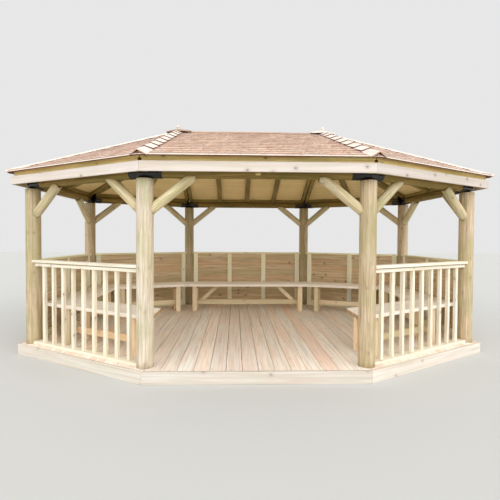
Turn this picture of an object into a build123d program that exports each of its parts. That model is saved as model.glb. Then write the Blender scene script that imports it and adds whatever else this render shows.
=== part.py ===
from build123d import *
from math import cos, radians, sin, tan
import os

# A timber garden gazebo, long in X: a hexagon pulled apart by a middle bay, on a low deck, with eight
# round posts, a hipped shingle roof, baluster panels in front, boarded half walls behind, and benches.
# Millimetres, +Z up, front on -Y. The origin is on the ground, under the middle of the deck.

# Plan
middle_bay = 2170.0          # between the axes of the two inner posts, in front and at the back
side_bay = 1757.0            # between the axes of any other two neighbouring posts
deck_overhang = 169.0        # deck beyond the axes of the front and back posts
eave_overhang = 216.0        # fascia beyond the same axes
shingle_overhang = 47.0      # shingles beyond the fascia, there too

# Deck
joist_height = 92.0
joist_width = 45.0
joist_spacing = 400.0
floor_thickness = 28.0
skirt_thickness = 28.0

# Posts, ring beams and knee braces, all of round timber
post_diameter = 165.0
post_height = 1818.0
post_chamfer = 6.0
beam_diameter = 100.0
brace_diameter = 100.0
brace_drop = 400.3           # from the axis of the beam down to where a brace meets the axis of its post
brace_reach = 497.0          # from there along to where it meets the axis of the beam
brace_top = 45.0             # the level cut at its top, below the axis of the beam

# Saddle brackets of folded sheet on the post tops
bracket_sheet = 4.0
bracket_wing = 170.0         # each wing, from the axis of the post
bracket_side = 18.0          # the straight sides, above the axis of the beam
tongue_thickness = 8.0       # the upright plate between the two hip rafters
tongue_length = 78.0
tongue_above_beam = 95.0
tongue_below_beam = 30.0

# Roof, with heights taken at the line of the posts
roof_pitch = 20.45           # of the front and back slopes, and the six triangles are a little steeper
ridge_inset = 55.0           # each end of the ridge, inside the axes of its two inner posts
rafter_notch = 10.3          # how deep the ring beams are let into the rafters, square to them
rafter_drop = 49.0           # rafters below the lining, upright
panel_depth = 119.5          # from the underside of the lining to the top of the panel, upright
shingle_depth = 21.0         # upright
hip_rafter_width = 55.0
mid_rafter_width = 78.0
eave_rail_width = 60.0
hip_gap = 16.0               # between the rafters of two neighbouring panels
ridge_gap = 6.0
flat_mid_rafters = 3
triangle_mid_rafters = 1
mid_rafter_spacing = 500.0   # between their middles, along the eave

# Fascia
fascia_thickness = 22.0
fascia_height = 95.0
fascia_drop = 107.0          # its bottom edge below the lining at the line of the posts
rafter_tail_cover = 5.0      # the rafter tails stop this far above its bottom edge

# Caps over the hips and the ridge
hip_cap_width = 85.0
hip_cap_depth = 24.0
hip_cap_overhang = 12.0
hub_cap_radius = 185.0
hub_cap_depth = 45.0
hub_cap_run = 185.0          # along the ridge, from its end
ridge_cap_width = 70.0
ridge_cap_depth = 14.0
finial_radius = 25.0
finial_sink = 10.0
cap_joint = 2.0

# Boarded half walls
wall_height = 985.0
wall_cap_thickness = 26.0
wall_cap_width = 100.0
board_thickness = 20.0
batten_thickness = 38.0
batten_width = 78.0
stile_offset = 125.0         # middle of the end stile from the axis of the post
top_rail_height = 79.0
bottom_rail_height = 90.0
back_wall_bays = 3
side_wall_bays = 2
post_clearance = 0.5

# Baluster panels
handrail_thickness = 30.0
handrail_width = 120.0
groove_height = 8.0
groove_width = 50.0
sub_rail_height = 36.0
sub_rail_width = 65.0
foot_rail_height = 32.0
foot_rail_width = 100.0
baluster_width = 38.0
end_baluster_offset = 210.5  # middle of the first baluster from the axis of the post
baluster_count = 9

# Benches
seat_height = 465.0
seat_thickness = 40.0
seat_depth = 410.0
seat_gap = 12.5              # back edge of a seat from the inner faces of the posts
back_seat_inset = 362.0      # back edge of the back bench from the line of the back posts
end_setback = 47.0           # free end of the two front benches, inside the axis of the inner post
back_bench_setback = 21.0    # each end of the back bench, inside the axis of its post
back_bench_turn = 10.2       # degrees by which the two benches beside it are turned from their walls
bench_joint = 2.0
leg_width = 75.0
leg_thickness = 45.0
leg_inset = 62.0             # face of a leg behind the edge of the seat
leg_from_end = 60.0          # near face of a leg from the end of the front edge of the seat
back_leg_from_end = 118.0    # the same on the back bench
bearer_width = 50.0
bearer_height = 35.0
cross_rail_width = 45.0
stretcher_width = 40.0
stretcher_height = 75.0
stretcher_above_deck = 103.0
bench_brace_foot = 87.0      # middle of the foot of a bench brace from the inner face of the leg
bench_brace_run = 266.0
bench_brace_length_on_rail = 88.0
bench_brace_thickness = 38.0

joint_gap = 2.0              # at the mitres of the skirt, the beams and the fascia
curve_clearance = 0.3        # between round timber and what is shaped to fit it

# What follows from the sizes above
deck_height = joist_height + floor_thickness
post_radius = post_diameter / 2
beam_radius = beam_diameter / 2
saddle_inner = beam_radius + curve_clearance
saddle_outer = saddle_inner + bracket_sheet
beam_axis = deck_height + post_height + saddle_outer
half_bay = middle_bay / 2
half_ridge = half_bay - ridge_inset
pitch_rise = tan(radians(roof_pitch))
deck_radius = side_bay + deck_overhang
fascia_radius = side_bay + eave_overhang
shingle_radius = fascia_radius + shingle_overhang
rafter_seat = (beam_radius + curve_clearance - rafter_notch) / cos(radians(roof_pitch))
lining_at_posts = beam_axis + rafter_seat + rafter_drop
seat_inset = post_radius + seat_gap
tall = middle_bay + 2 * shingle_radius  # the whole length, past any height, for prisms to be trimmed
up = Vector(0, 0, 1)
base_align = (Align.CENTER, Align.CENTER, Align.MIN)

# Corners and sides run anticlockwise from the left. A side starts at the corner of the same number.
corner_names = ("left_front", "front_left", "front_right", "right_front",
                "right_back", "back_right", "back_left", "left_back")
corner_angles = (210, 270, 270, 330, 30, 90, 90, 150)
corner_ends = (-1, -1, 1, 1, 1, 1, -1, -1)
side_names = ("front_left", "front", "front_right", "right", "back_right", "back", "back_left", "left")
flat_sides = ("front", "back")
railed_sides = ("front_left", "front_right")
walled_sides = ("right", "back_right", "back", "back_left", "left")


def turn_left(direction):
    return Vector(-direction.Y, direction.X)


def meet(point_a, along_a, point_b, along_b):
    """Where two lines in plan cross."""
    gap = point_b - point_a
    across = along_a.X * along_b.Y - along_a.Y * along_b.X
    return point_a + along_a * ((gap.X * along_b.Y - gap.Y * along_b.X) / across)


def ring(radius):
    """The eight corners of a hexagon of this radius, pulled apart by the middle bay."""
    corners = []
    for angle, end in zip(corner_angles, corner_ends):
        corners.append(Vector(end * half_bay + radius * cos(radians(angle)), radius * sin(radians(angle))))
    return corners


def inset(corners, distances):
    """An anticlockwise outline with each edge moved inward by its own distance."""
    edges = []
    for index, corner in enumerate(corners):
        along = (corners[(index + 1) % len(corners)] - corner).normalized()
        edges.append((corner + turn_left(along) * distances[index], along))
    return [meet(*edges[index - 1], *edges[index]) for index in range(len(edges))]


def flat_points(corners):
    return [(corner.X, corner.Y) for corner in corners]


post_ring = ring(side_bay)


def hub_of(corner):
    """The end of the ridge to which the hip over this corner runs."""
    return Vector(corner_ends[corner] * half_ridge, 0)


def roof_ring(radius):
    """The eight corners of a level line on the slopes, each on its hip. The post ring is one of these."""
    corners = []
    for corner, post in enumerate(post_ring):
        hub = hub_of(corner)
        corners.append(hub + (post - hub) * (radius / side_bay))
    return corners


class Side:
    """One side of the building, from its first post to the next one."""

    def __init__(self, number):
        self.number = number
        self.following = (number + 1) % len(side_names)
        self.name = side_names[number]
        self.start = post_ring[number]
        self.end = post_ring[self.following]
        self.middle = (self.start + self.end) * 0.5
        self.length = (self.end - self.start).length
        self.along = (self.end - self.start).normalized()
        self.inward = turn_left(self.along)
        self.flat = self.name in flat_sides
        first_hub = hub_of(number)
        last_hub = hub_of(self.following)
        self.hubs = [last_hub, first_hub] if self.flat else [last_hub]
        self.depth = (last_hub - self.middle).dot(self.inward)
        self.rise = pitch_rise * side_bay / self.depth

    def floor_plane(self, height):
        """Level, with x along the side from its middle and y inward from the line of the posts."""
        return Plane(origin=self.middle + up * height, x_dir=self.along, z_dir=up)

    def slope_outline(self, radius, eave_inset, hip_inset, ridge_inset):
        """Plan of one slope, from a ring up to the ridge, with each of its edges kept back."""
        corners = roof_ring(radius)
        outline = [corners[self.number], corners[self.following]] + self.hubs
        upper = [hip_inset, ridge_inset, hip_inset] if self.flat else [hip_inset, hip_inset]
        return inset(outline, [eave_inset] + upper)

    def slope_layer(self, low_hub, high_hub, outline, floor=0.0):
        """The part of this slope between two parallel planes, above a level floor and in an outline.

        The planes are given by their heights at the ridge. Their section is drawn out along the side.
        """
        reach = shingle_radius + hip_cap_overhang + fascia_thickness
        low_end = max(low_hub - self.rise * reach, floor)
        level_from = min((low_hub - low_end) / self.rise, reach)
        section = [(0, low_hub), (0, high_hub), (reach, high_hub - self.rise * reach), (reach, low_end)]
        if level_from < reach:
            section.append((level_from, low_end))
        with BuildPart() as layer:
            with BuildSketch(Plane(origin=self.hubs[0], x_dir=self.inward * -1, z_dir=self.along * -1)):
                Polygon(*section, align=None)
            extrude(amount=tall, both=True)
            with BuildSketch():
                Polygon(*flat_points(outline), align=None)
            extrude(amount=tall, mode=Mode.INTERSECT)
        return layer.part


sides = [Side(number) for number in range(len(side_names))]


def mitre_plane(corner, direction, gap):
    """The upright plane that halves the angle at a post, facing along one of its two sides."""
    across = (sides[corner - 1].along + sides[corner].along).normalized()
    facing = across if across.dot(direction) > 0 else across * -1
    return Plane(origin=post_ring[corner] + direction * gap, z_dir=facing)


def beam_plane(point, direction):
    """Upright, square to a ring beam on its axis, with y up."""
    return Plane(origin=point + up * beam_axis, x_dir=turn_left(direction), z_dir=direction)


def mitred_board(outer, inner, side):
    """Plan of the board on one side between two rings, short of its neighbours by half a joint."""
    short = side.along * (joint_gap / 2)
    return [outer[side.number] + short, outer[side.following] - short,
            inner[side.following] - short, inner[side.number] + short]


os.makedirs("parts", exist_ok=True)


def save(part, name):
    part.label = name
    export_step(part, f"parts/{name}.step")


# Deck: joists in a perimeter frame, the floor on top and a skirt round both
deck_outer = ring(deck_radius)
deck_inner = inset(deck_outer, [skirt_thickness] * len(deck_outer))
frame_inner = inset(deck_inner, [joist_width] * len(deck_inner))
joist_rows = 2 * int(side_bay / joist_spacing) + 1

with BuildPart() as deck_joists:
    with BuildSketch():
        with GridLocations(0, joist_spacing, 1, joist_rows):
            Rectangle(tall * 2, joist_width)
        Polygon(*flat_points(frame_inner), align=None, mode=Mode.INTERSECT)
    extrude(amount=joist_height)
    with BuildSketch():
        Polygon(*flat_points(deck_inner), align=None)
        Polygon(*flat_points(frame_inner), align=None, mode=Mode.SUBTRACT)
    extrude(amount=joist_height)
save(deck_joists.part, "deck_joists")

with BuildPart() as deck_floor:
    with BuildSketch(Plane.XY.offset(joist_height)):
        Polygon(*flat_points(deck_inner), align=None)
    extrude(amount=floor_thickness)
save(deck_floor.part, "deck_floor")

with BuildPart() as deck_skirt:
    with BuildSketch():
        for side in sides:
            Polygon(*flat_points(mitred_board(deck_outer, deck_inner, side)), align=None)
    extrude(amount=deck_height)
save(deck_skirt.part, "deck_skirt")

# Posts
for name, corner in zip(corner_names, post_ring):
    with BuildPart() as post:
        with BuildSketch(Plane.XY.offset(deck_height)):
            with Locations((corner.X, corner.Y)):
                Circle(post_radius)
        extrude(amount=post_height)
        chamfer(post.edges().group_by(Axis.Z)[-1], post_chamfer)
    save(post.part, f"{name}_post")

# Ring beams, mitred over the posts
for side in sides:
    with BuildPart() as beam:
        with BuildSketch(beam_plane(side.start - side.along * beam_diameter, side.along)):
            Circle(beam_radius)
        extrude(amount=side.length + 2 * beam_diameter)
        split(bisect_by=mitre_plane(side.number, side.along, joint_gap / 2), keep=Keep.TOP)
        split(bisect_by=mitre_plane(side.following, side.along * -1, joint_gap / 2), keep=Keep.TOP)
    save(beam.part, f"{side.name}_beam")

# Knee braces, two to a post, shaped to the post and to the beam
def knee_brace(post, direction):
    """The round brace from a post up to the beam that leaves the post in this direction."""
    slant = direction * brace_reach + up * brace_drop
    foot = post + up * (beam_axis - brace_drop)
    with BuildPart() as brace:
        with BuildSketch(Plane(origin=foot, x_dir=turn_left(direction), z_dir=slant)):
            Circle(brace_diameter / 2)
        extrude(amount=slant.length)
        with BuildSketch():
            with Locations((post.X, post.Y)):
                Circle(post_radius + curve_clearance)
        extrude(amount=tall, mode=Mode.SUBTRACT)
        with BuildSketch(beam_plane(post, direction)):
            Circle(beam_radius + curve_clearance)
        extrude(amount=2 * brace_reach, mode=Mode.SUBTRACT)
        split(bisect_by=Plane.XY.offset(beam_axis - brace_top), keep=Keep.BOTTOM)
    return brace.part


for end_name, end in (("left", -1), ("right", 1)):
    with BuildPart() as knee_braces:
        for number, post in enumerate(post_ring):
            if corner_ends[number] == end:
                add(knee_brace(post, sides[number].along))
                add(knee_brace(post, sides[number - 1].along * -1))
    save(knee_braces.part, f"{end_name}_knee_braces")


# Brackets: on each post two saddle wings, mitred together, and an upright tongue towards the ridge
def saddle_wing(corner, direction):
    """A trough under one beam, from the mitre over the post outward."""
    with BuildPart() as wing:
        with BuildSketch(beam_plane(post_ring[corner] - direction * bracket_wing, direction)):
            Circle(saddle_outer)
            with Locations((0, saddle_outer / 2)):
                Rectangle(2 * saddle_outer, saddle_outer, mode=Mode.SUBTRACT)
            with Locations((0, bracket_side / 2)):
                Rectangle(2 * saddle_outer, bracket_side)
            Circle(saddle_inner, mode=Mode.SUBTRACT)
            with Locations((0, saddle_inner / 2)):
                Rectangle(2 * saddle_inner, saddle_inner, mode=Mode.SUBTRACT)
        extrude(amount=2 * bracket_wing)
        split(bisect_by=mitre_plane(corner, direction, 0), keep=Keep.TOP)
    return wing.part


def tongue_frame(corner):
    """Level plane on the saddles' inner walls, with x along the hip towards the ridge."""
    inward = (hub_of(corner) - post_ring[corner]).normalized()
    wall_middle = (saddle_inner + saddle_outer) / 2
    reach = max(wall_middle / inward.dot(side.inward) for side in (sides[corner - 1], sides[corner]))
    origin = post_ring[corner] + inward * reach + up * (beam_axis - tongue_below_beam)
    return Plane(origin=origin, x_dir=inward, z_dir=up)


def bracket_tongue(corner):
    with BuildPart(tongue_frame(corner)) as tongue:
        Box(tongue_length, tongue_thickness, tongue_below_beam + tongue_above_beam,
            align=(Align.MIN, Align.CENTER, Align.MIN))
    return tongue.part


with BuildPart() as post_brackets:
    for corner in range(len(post_ring)):
        add(saddle_wing(corner, sides[corner].along))
        add(saddle_wing(corner, sides[corner - 1].along * -1))
        add(bracket_tongue(corner))
save(post_brackets.part, "post_brackets")

# Roof panels: a closed panel on its own rafters and eave rail, which sit on the round beams
lining_hub = lining_at_posts + pitch_rise * side_bay
panel_hub = lining_hub + panel_depth
shingle_hub = panel_hub + shingle_depth
fascia_bottom = lining_at_posts - fascia_drop
fascia_outer = roof_ring(fascia_radius)
fascia_inner = inset(fascia_outer, [fascia_thickness] * len(fascia_outer))


def rafter_plan(side, outline):
    """The rafters and the eave rail of one panel as a tall prism, to be trimmed to the slope."""
    mid_rafters = flat_mid_rafters if side.flat else triangle_mid_rafters
    between_hips = side.slope_outline(fascia_radius, 0, hip_gap / 2 + hip_rafter_width, 0)
    with BuildPart() as prism:
        with BuildSketch(side.floor_plane(0)):
            Rectangle(tall, eave_rail_width)
            with GridLocations(mid_rafter_spacing, 0, mid_rafters, 1):
                Rectangle(mid_rafter_width, tall)
        extrude(amount=tall)
        with BuildSketch():
            Polygon(*flat_points(outline), align=None)
        extrude(amount=tall, mode=Mode.INTERSECT)
        with BuildSketch():
            Polygon(*flat_points(outline), align=None)
            Polygon(*flat_points(between_hips), align=None, mode=Mode.SUBTRACT)
        extrude(amount=tall)
    return prism.part


for side in sides:
    outline = side.slope_outline(fascia_radius, fascia_thickness, hip_gap / 2, ridge_gap / 2)
    rafter_floor = fascia_bottom + rafter_tail_cover
    with BuildPart() as roof_panel:
        add(side.slope_layer(lining_hub - rafter_drop, lining_hub, outline, rafter_floor))
        add(rafter_plan(side, outline), mode=Mode.INTERSECT)
        add(side.slope_layer(lining_hub, panel_hub, outline))
        for neighbour in (sides[side.number - 1], side, sides[side.following]):
            with BuildSketch(beam_plane(neighbour.start - neighbour.along * beam_diameter, neighbour.along)):
                Circle(beam_radius + curve_clearance)
            extrude(amount=neighbour.length + 2 * beam_diameter, mode=Mode.SUBTRACT)
    save(roof_panel.part, f"{side.name}_roof_panel")

# Fascia boards round the ends of the panels
with BuildPart() as fascia_boards:
    with BuildSketch(Plane.XY.offset(fascia_bottom)):
        for side in sides:
            Polygon(*flat_points(mitred_board(fascia_outer, fascia_inner, side)), align=None)
    extrude(amount=fascia_height)
save(fascia_boards.part, "fascia_boards")

# Shingle covering, one slab to a slope
with BuildPart() as roof_shingles:
    for side in sides:
        outline = side.slope_outline(shingle_radius, 0, cap_joint, ridge_gap / 2)
        add(side.slope_layer(panel_hub, shingle_hub, outline))
save(roof_shingles.part, "roof_shingles")


# Caps: a bent strip over each hip, a cap over each end of the ridge and a strip between those two
def hip_strip(side, corner):
    """Plan of the half of a hip's cap that lies on one of its two slopes.

    On a triangle the caps of its two hips meet under the hub cap, on the line down its middle.
    """
    hub = hub_of(corner)
    outward = (post_ring[corner] - hub).normalized()
    leftward = turn_left(outward)
    beside = leftward if leftward.dot(side.middle - post_ring[corner]) > 0 else leftward * -1
    inner_end = roof_ring(hub_cap_radius + cap_joint)[corner]
    outer_end = roof_ring(shingle_radius + hip_cap_overhang)[corner]
    edge = hub + beside * hip_cap_width
    strip = [inner_end, outer_end, meet(outer_end, side.along, edge, outward)]
    if side.flat:
        return strip + [meet(inner_end, side.along, edge, outward)]
    towards_corner = side.along if (post_ring[corner] - side.middle).dot(side.along) > 0 else side.along * -1
    middle_line = (hub + towards_corner * (cap_joint / 2), side.inward)
    return strip + [meet(edge, outward, *middle_line), meet(inner_end, side.along, *middle_line)]


with BuildPart() as hip_caps:
    for corner in range(len(post_ring)):
        for side in (sides[corner - 1], sides[corner]):
            add(side.slope_layer(shingle_hub, shingle_hub + hip_cap_depth, hip_strip(side, corner)))
save(hip_caps.part, "hip_caps")

hub_ring = roof_ring(hub_cap_radius)
with BuildPart() as ridge_caps:
    for side in sides:
        if side.flat:
            for number, end in ((side.number, -1), (side.following, 1)):
                hub = hub_of(number)
                run = side.along * (-end * hub_cap_run)
                cap = [hub_ring[number], hub_ring[number] + run, hub + run, hub]
                add(side.slope_layer(shingle_hub, shingle_hub + hub_cap_depth, cap))
            short = side.along * (hub_cap_run + cap_joint)
            last_hub, first_hub = side.hubs
            edge = side.inward * -ridge_cap_width
            strip = [first_hub + short + edge, last_hub - short + edge, last_hub - short, first_hub + short]
            add(side.slope_layer(shingle_hub, shingle_hub + ridge_cap_depth, strip))
        else:
            cap = [hub_ring[side.number], hub_ring[side.following], side.hubs[0]]
            add(side.slope_layer(shingle_hub, shingle_hub + hub_cap_depth, cap))
    finial_z = shingle_hub + hub_cap_depth + finial_radius - finial_sink
    with Locations((-half_ridge, 0, finial_z), (half_ridge, 0, finial_z)):
        Sphere(finial_radius)
save(ridge_caps.part, "ridge_caps")

# Half walls: boards outside, battens and rails inside, a cap on top, cut to fit round the posts
cap_bottom = wall_height - wall_cap_thickness
wall_thickness = board_thickness + batten_thickness
board_line = board_thickness / 2 - wall_thickness / 2
batten_line = wall_thickness / 2 - batten_thickness / 2

for side in sides:
    if side.name in walled_sides:
        bays = back_wall_bays if side.flat else side_wall_bays
        batten_spacing = (side.length - 2 * stile_offset) / bays
        with BuildPart(side.floor_plane(deck_height)) as half_wall:
            with Locations((0, board_line, 0)):
                Box(side.length, board_thickness, cap_bottom, align=base_align)
            with Locations((0, batten_line, 0)):
                Box(side.length, batten_thickness, bottom_rail_height, align=base_align)
            with Locations((0, batten_line, cap_bottom - top_rail_height)):
                Box(side.length, batten_thickness, top_rail_height, align=base_align)
            with Locations((0, batten_line, 0)):
                with GridLocations(batten_spacing, 0, bays + 1, 1):
                    Box(batten_width, batten_thickness, cap_bottom, align=base_align)
            with Locations((0, 0, cap_bottom)):
                Box(side.length, wall_cap_width, wall_cap_thickness, align=base_align)
            with GridLocations(side.length, 0, 2, 1):
                Cylinder(post_radius + post_clearance, wall_height, align=base_align, mode=Mode.SUBTRACT)
        save(half_wall.part, f"{side.name}_half_wall")

# Baluster panels: foot rail, balusters, sub-rail, a groove and the handrail
handrail_bottom = wall_height - handrail_thickness
sub_rail_top = handrail_bottom - groove_height
sub_rail_bottom = sub_rail_top - sub_rail_height
baluster_spacing = (side_bay - 2 * end_baluster_offset) / (baluster_count - 1)

for side in sides:
    if side.name in railed_sides:
        with BuildPart(side.floor_plane(deck_height)) as balustrade:
            Box(side.length, foot_rail_width, foot_rail_height, align=base_align)
            with Locations((0, 0, foot_rail_height)):
                with GridLocations(baluster_spacing, 0, baluster_count, 1):
                    Box(baluster_width, baluster_width, sub_rail_bottom - foot_rail_height, align=base_align)
            with Locations((0, 0, sub_rail_bottom)):
                Box(side.length, sub_rail_width, sub_rail_height, align=base_align)
            with Locations((0, 0, sub_rail_top)):
                Box(side.length, groove_width, groove_height, align=base_align)
            with Locations((0, 0, handrail_bottom)):
                Box(side.length, handrail_width, handrail_thickness, align=base_align)
            with GridLocations(side.length, 0, 2, 1):
                Cylinder(post_radius + post_clearance, wall_height, align=base_align, mode=Mode.SUBTRACT)
        save(balustrade.part, f"{side.name}_balustrade")

# Benches, in order from the right of the entrance round to its left. Neighbours share a cut line.
bench_names = ("front_right", "right", "back_right", "back", "back_left", "left", "front_left")
across_bays = Vector(0, 1)
back_end = half_bay - back_bench_setback
free_end = half_bay - end_setback
back_bench_front = side_bay - back_seat_inset - seat_depth

front_lines = {}
for side in sides:
    front_lines[side.name] = (side.middle + side.inward * (seat_inset + seat_depth), side.along)
for name, end in (("back_right", 1), ("back_left", -1)):
    turned = front_lines[name][1].rotate(Axis.Z, end * back_bench_turn)
    front_lines[name] = (Vector(end * back_end, back_bench_front), turned)
front_lines["back"] = (Vector(0, back_bench_front), front_lines["back"][1])

back_lines = {}
for name, (point, along) in front_lines.items():
    back_lines[name] = (point - turn_left(along) * seat_depth, along)


def seat_mitre(first, second):
    """The line on which two seats meet, through the crossings of their front and back edges."""
    inner = meet(*front_lines[first], *front_lines[second])
    outer = meet(*back_lines[first], *back_lines[second])
    return inner, (outer - inner).normalized()


cuts = [(Vector(free_end, 0), across_bays), seat_mitre("front_right", "right"),
        seat_mitre("right", "back_right"), (Vector(back_end, 0), across_bays),
        (Vector(-back_end, 0), across_bays), seat_mitre("back_left", "left"),
        seat_mitre("left", "front_left"), (Vector(-free_end, 0), across_bays)]
seat_bottom = seat_height - seat_thickness
leg_y = -(leg_inset + leg_thickness / 2)
back_leg_y = -seat_depth - leg_y
frame_middle = -seat_depth / 2
frame_depth = seat_depth - 2 * leg_inset

for name, start_cut, end_cut in zip(bench_names, cuts, cuts[1:]):
    point, along = front_lines[name]
    short = along * (bench_joint / 2)
    start_cut = (start_cut[0] + short, start_cut[1])
    end_cut = (end_cut[0] - short, end_cut[1])
    seat = [meet(*back_lines[name], *start_cut), meet(*back_lines[name], *end_cut),
            meet(point, along, *end_cut), meet(point, along, *start_cut)]
    front_middle = (seat[2] + seat[3]) * 0.5
    front_length = (seat[2] - seat[3]).length
    leg_setback = back_leg_from_end if name == "back" else leg_from_end
    leg_x = front_length / 2 - leg_setback - leg_width / 2
    bearer_x = leg_x - leg_width / 2 - bearer_width / 2
    with BuildPart(Plane(origin=front_middle + up * deck_height, x_dir=along, z_dir=up)) as bench:
        with BuildSketch(Plane.XY.offset(deck_height + seat_bottom)):
            Polygon(*flat_points(seat), align=None)
        extrude(amount=seat_thickness)
        for y in (leg_y, back_leg_y):
            with Locations((-leg_x, y, 0), (leg_x, y, 0)):
                Box(leg_width, leg_thickness, seat_bottom, align=base_align)
        with Locations((0, frame_middle, seat_bottom - bearer_height)):
            with GridLocations(bearer_x, 0, 3, 1):
                Box(bearer_width, frame_depth, bearer_height, align=base_align)
        with Locations((0, frame_middle, stretcher_above_deck)):
            with GridLocations(2 * leg_x, 0, 2, 1):
                Box(cross_rail_width, frame_depth - 2 * leg_thickness, stretcher_height, align=base_align)
        with Locations((0, frame_middle, stretcher_above_deck)):
            Box(2 * leg_x - cross_rail_width, stretcher_width, stretcher_height, align=base_align)
        if name == "back":
            rail_top = stretcher_above_deck + stretcher_height
            foot_x = leg_x - leg_width / 2 - bench_brace_foot
            half_cut = bench_brace_length_on_rail / 2
            upright = Plane(origin=front_middle + turn_left(along) * frame_middle + up * deck_height,
                            x_dir=along, z_dir=turn_left(along) * -1)
            with BuildSketch(upright):
                for end in (-1, 1):
                    foot = end * foot_x
                    head = end * (foot_x - bench_brace_run)
                    Polygon((foot - half_cut, rail_top), (foot + half_cut, rail_top),
                            (head + half_cut, seat_bottom), (head - half_cut, seat_bottom), align=None)
            extrude(amount=bench_brace_thickness / 2, both=True)
    save(bench.part, f"{name}_bench")
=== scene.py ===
# %% [markdown]
# # A garden gazebo, dressed in Blender
# The frame brings in the solid model: posts, beams, roof, walls and benches at their true sizes.
# Solids have the main shapes but not what makes timber look like timber: single boards with eased edges,
# split shingles, drying cracks, knots and weathering. This lesson builds those, piece by piece, in the
# places that the solids hold. Lengths are in metres. The long way of the gazebo is X, its entrance
# faces -Y, and the ground is z = 0.

# %% The frame
import bpy
import numpy as np
from mathutils import Matrix


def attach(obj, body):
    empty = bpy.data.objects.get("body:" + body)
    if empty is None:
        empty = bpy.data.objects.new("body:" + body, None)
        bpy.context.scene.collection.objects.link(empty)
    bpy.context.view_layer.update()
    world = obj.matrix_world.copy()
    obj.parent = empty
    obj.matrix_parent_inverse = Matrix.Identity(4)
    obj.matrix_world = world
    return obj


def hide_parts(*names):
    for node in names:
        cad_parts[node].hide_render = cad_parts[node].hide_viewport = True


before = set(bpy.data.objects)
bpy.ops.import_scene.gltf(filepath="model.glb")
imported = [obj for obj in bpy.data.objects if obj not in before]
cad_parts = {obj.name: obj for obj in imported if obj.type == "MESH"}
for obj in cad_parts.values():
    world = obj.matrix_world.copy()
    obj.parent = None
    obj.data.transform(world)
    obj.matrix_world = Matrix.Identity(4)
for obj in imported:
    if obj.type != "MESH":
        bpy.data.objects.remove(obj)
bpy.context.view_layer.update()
luck = np.random.default_rng(31)

# %% [markdown]
# ## Where the picture is taken from
# The eye stands about five and a half metres from the middle of the gazebo, a little to the left, at chin
# height. Its direction was solved from the posts, the eaves and the deck boards, so it is kept as three
# angles.

# %% Camera
eye = np.array([-0.2131, -5.4361, 1.3717])
yaw, pitch, roll = -0.0273056, -0.0231397, 0.0047809
turned = np.array([[np.cos(yaw), np.sin(yaw), 0], [-np.sin(yaw), np.cos(yaw), 0], [0, 0, 1]])
nodded = np.array([[1, 0, 0], [0, np.cos(pitch), np.sin(pitch)], [0, -np.sin(pitch), np.cos(pitch)]])
stand = (nodded @ turned).T
rightward = stand @ np.array([np.cos(roll), 0, np.sin(roll)])
upward = stand @ np.array([-np.sin(roll), 0, np.cos(roll)])
forward = stand @ np.array([0, 1, 0])
lens = bpy.data.cameras.new("photo_camera")
lens.sensor_width, lens.lens = 36.0, 27.262
lens.shift_x, lens.shift_y = 0.00854, -0.0063
camera = bpy.data.objects.new("photo_camera", lens)
columns = np.column_stack([rightward, upward, -forward, eye])
camera.matrix_world = Matrix([*columns.tolist(), [0, 0, 0, 1]])
bpy.context.scene.collection.objects.link(camera)
bpy.context.scene.camera = camera
print("camera at", eye)

# %% [markdown]
# ## The plan
# Seen from above the gazebo is a hexagon pulled apart by a middle bay. The posts and the deck are rings
# of that shape at their own radius. The ridge is a little shorter than the middle bay, so the eaves are
# rings drawn out from its two ends through the posts. Corners run anticlockwise from the left front.

# %% Sizes and rings
half_bay, half_ridge, post_ring, pitch_rise = 1.085, 1.030, 1.757, 0.37287
deck_top, post_top, beam_axis = 0.120, 1.938, 1.9923
post_radius, beam_radius = 0.0825, 0.050
deck_ring, fascia_ring, shingle_ring = 1.926, 1.973, 2.020
lining_at_ridge, panel_at_ridge, shingles_at_ridge = 2.7391, 2.8586, 2.8796
angles = np.radians([210, 270, 270, 330, 30, 90, 90, 150])
ends = np.array([-1, -1, 1, 1, 1, 1, -1, -1])
up = np.array([0.0, 0.0, 1.0])


def circle(radius, turn):
    """Points at R (cos turn, sin turn)."""
    return radius * np.column_stack([np.cos(turn), np.sin(turn)])


def ring(radius):
    """Eight corners in plan: (end * half bay + R cos angle, R sin angle)."""
    return np.outer(ends, [half_bay, 0]) + circle(radius, angles)


def hub(corner):
    """The end of the ridge that a corner's hip runs to."""
    return np.array([ends[corner] * half_ridge, 0.0])


def roof_ring(radius):
    """Eight corners on the hips: hub + (post - hub) * radius / radius of the posts."""
    hubs = np.outer(ends, [half_ridge, 0])
    return hubs + (ring(post_ring) - hubs) * (radius / post_ring)


def level(point, z=0.0):
    """A point or direction of the plan, raised to a height."""
    return np.array([point[0], point[1], z])


def leftward(way):
    """A direction of the plan, turned a quarter to the left: (-y, x)."""
    return np.array([-way[1], way[0]])


print("posts stand at", ring(post_ring).round(2).tolist())

# %% [markdown]
# Two tools work on outlines in plan. One moves every edge inward by its own distance, which leaves the
# narrow gaps between neighbouring panels. The other cuts an outline along a line, as a saw would.

# %% Outlines moved in and cut
def inset(corners, distances):
    """Each edge of an outline moves inward by its own distance, and neighbours meet again.

    Lines p + u s and q + v t meet where s = (q - p) x v / (u x v).
    """
    along = np.roll(corners, -1, 0) - corners
    along /= np.linalg.norm(along, axis=1)[:, None]
    moved = corners + np.column_stack([-along[:, 1], along[:, 0]]) * np.array(distances)[:, None]
    before, ahead = np.roll(moved, 1, 0), np.roll(along, 1, 0)
    gap = moved - before
    crossed = ahead[:, 0] * along[:, 1] - ahead[:, 1] * along[:, 0]
    reach = (gap[:, 0] * along[:, 1] - gap[:, 1] * along[:, 0]) / crossed
    return before + ahead * reach[:, None]


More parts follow.
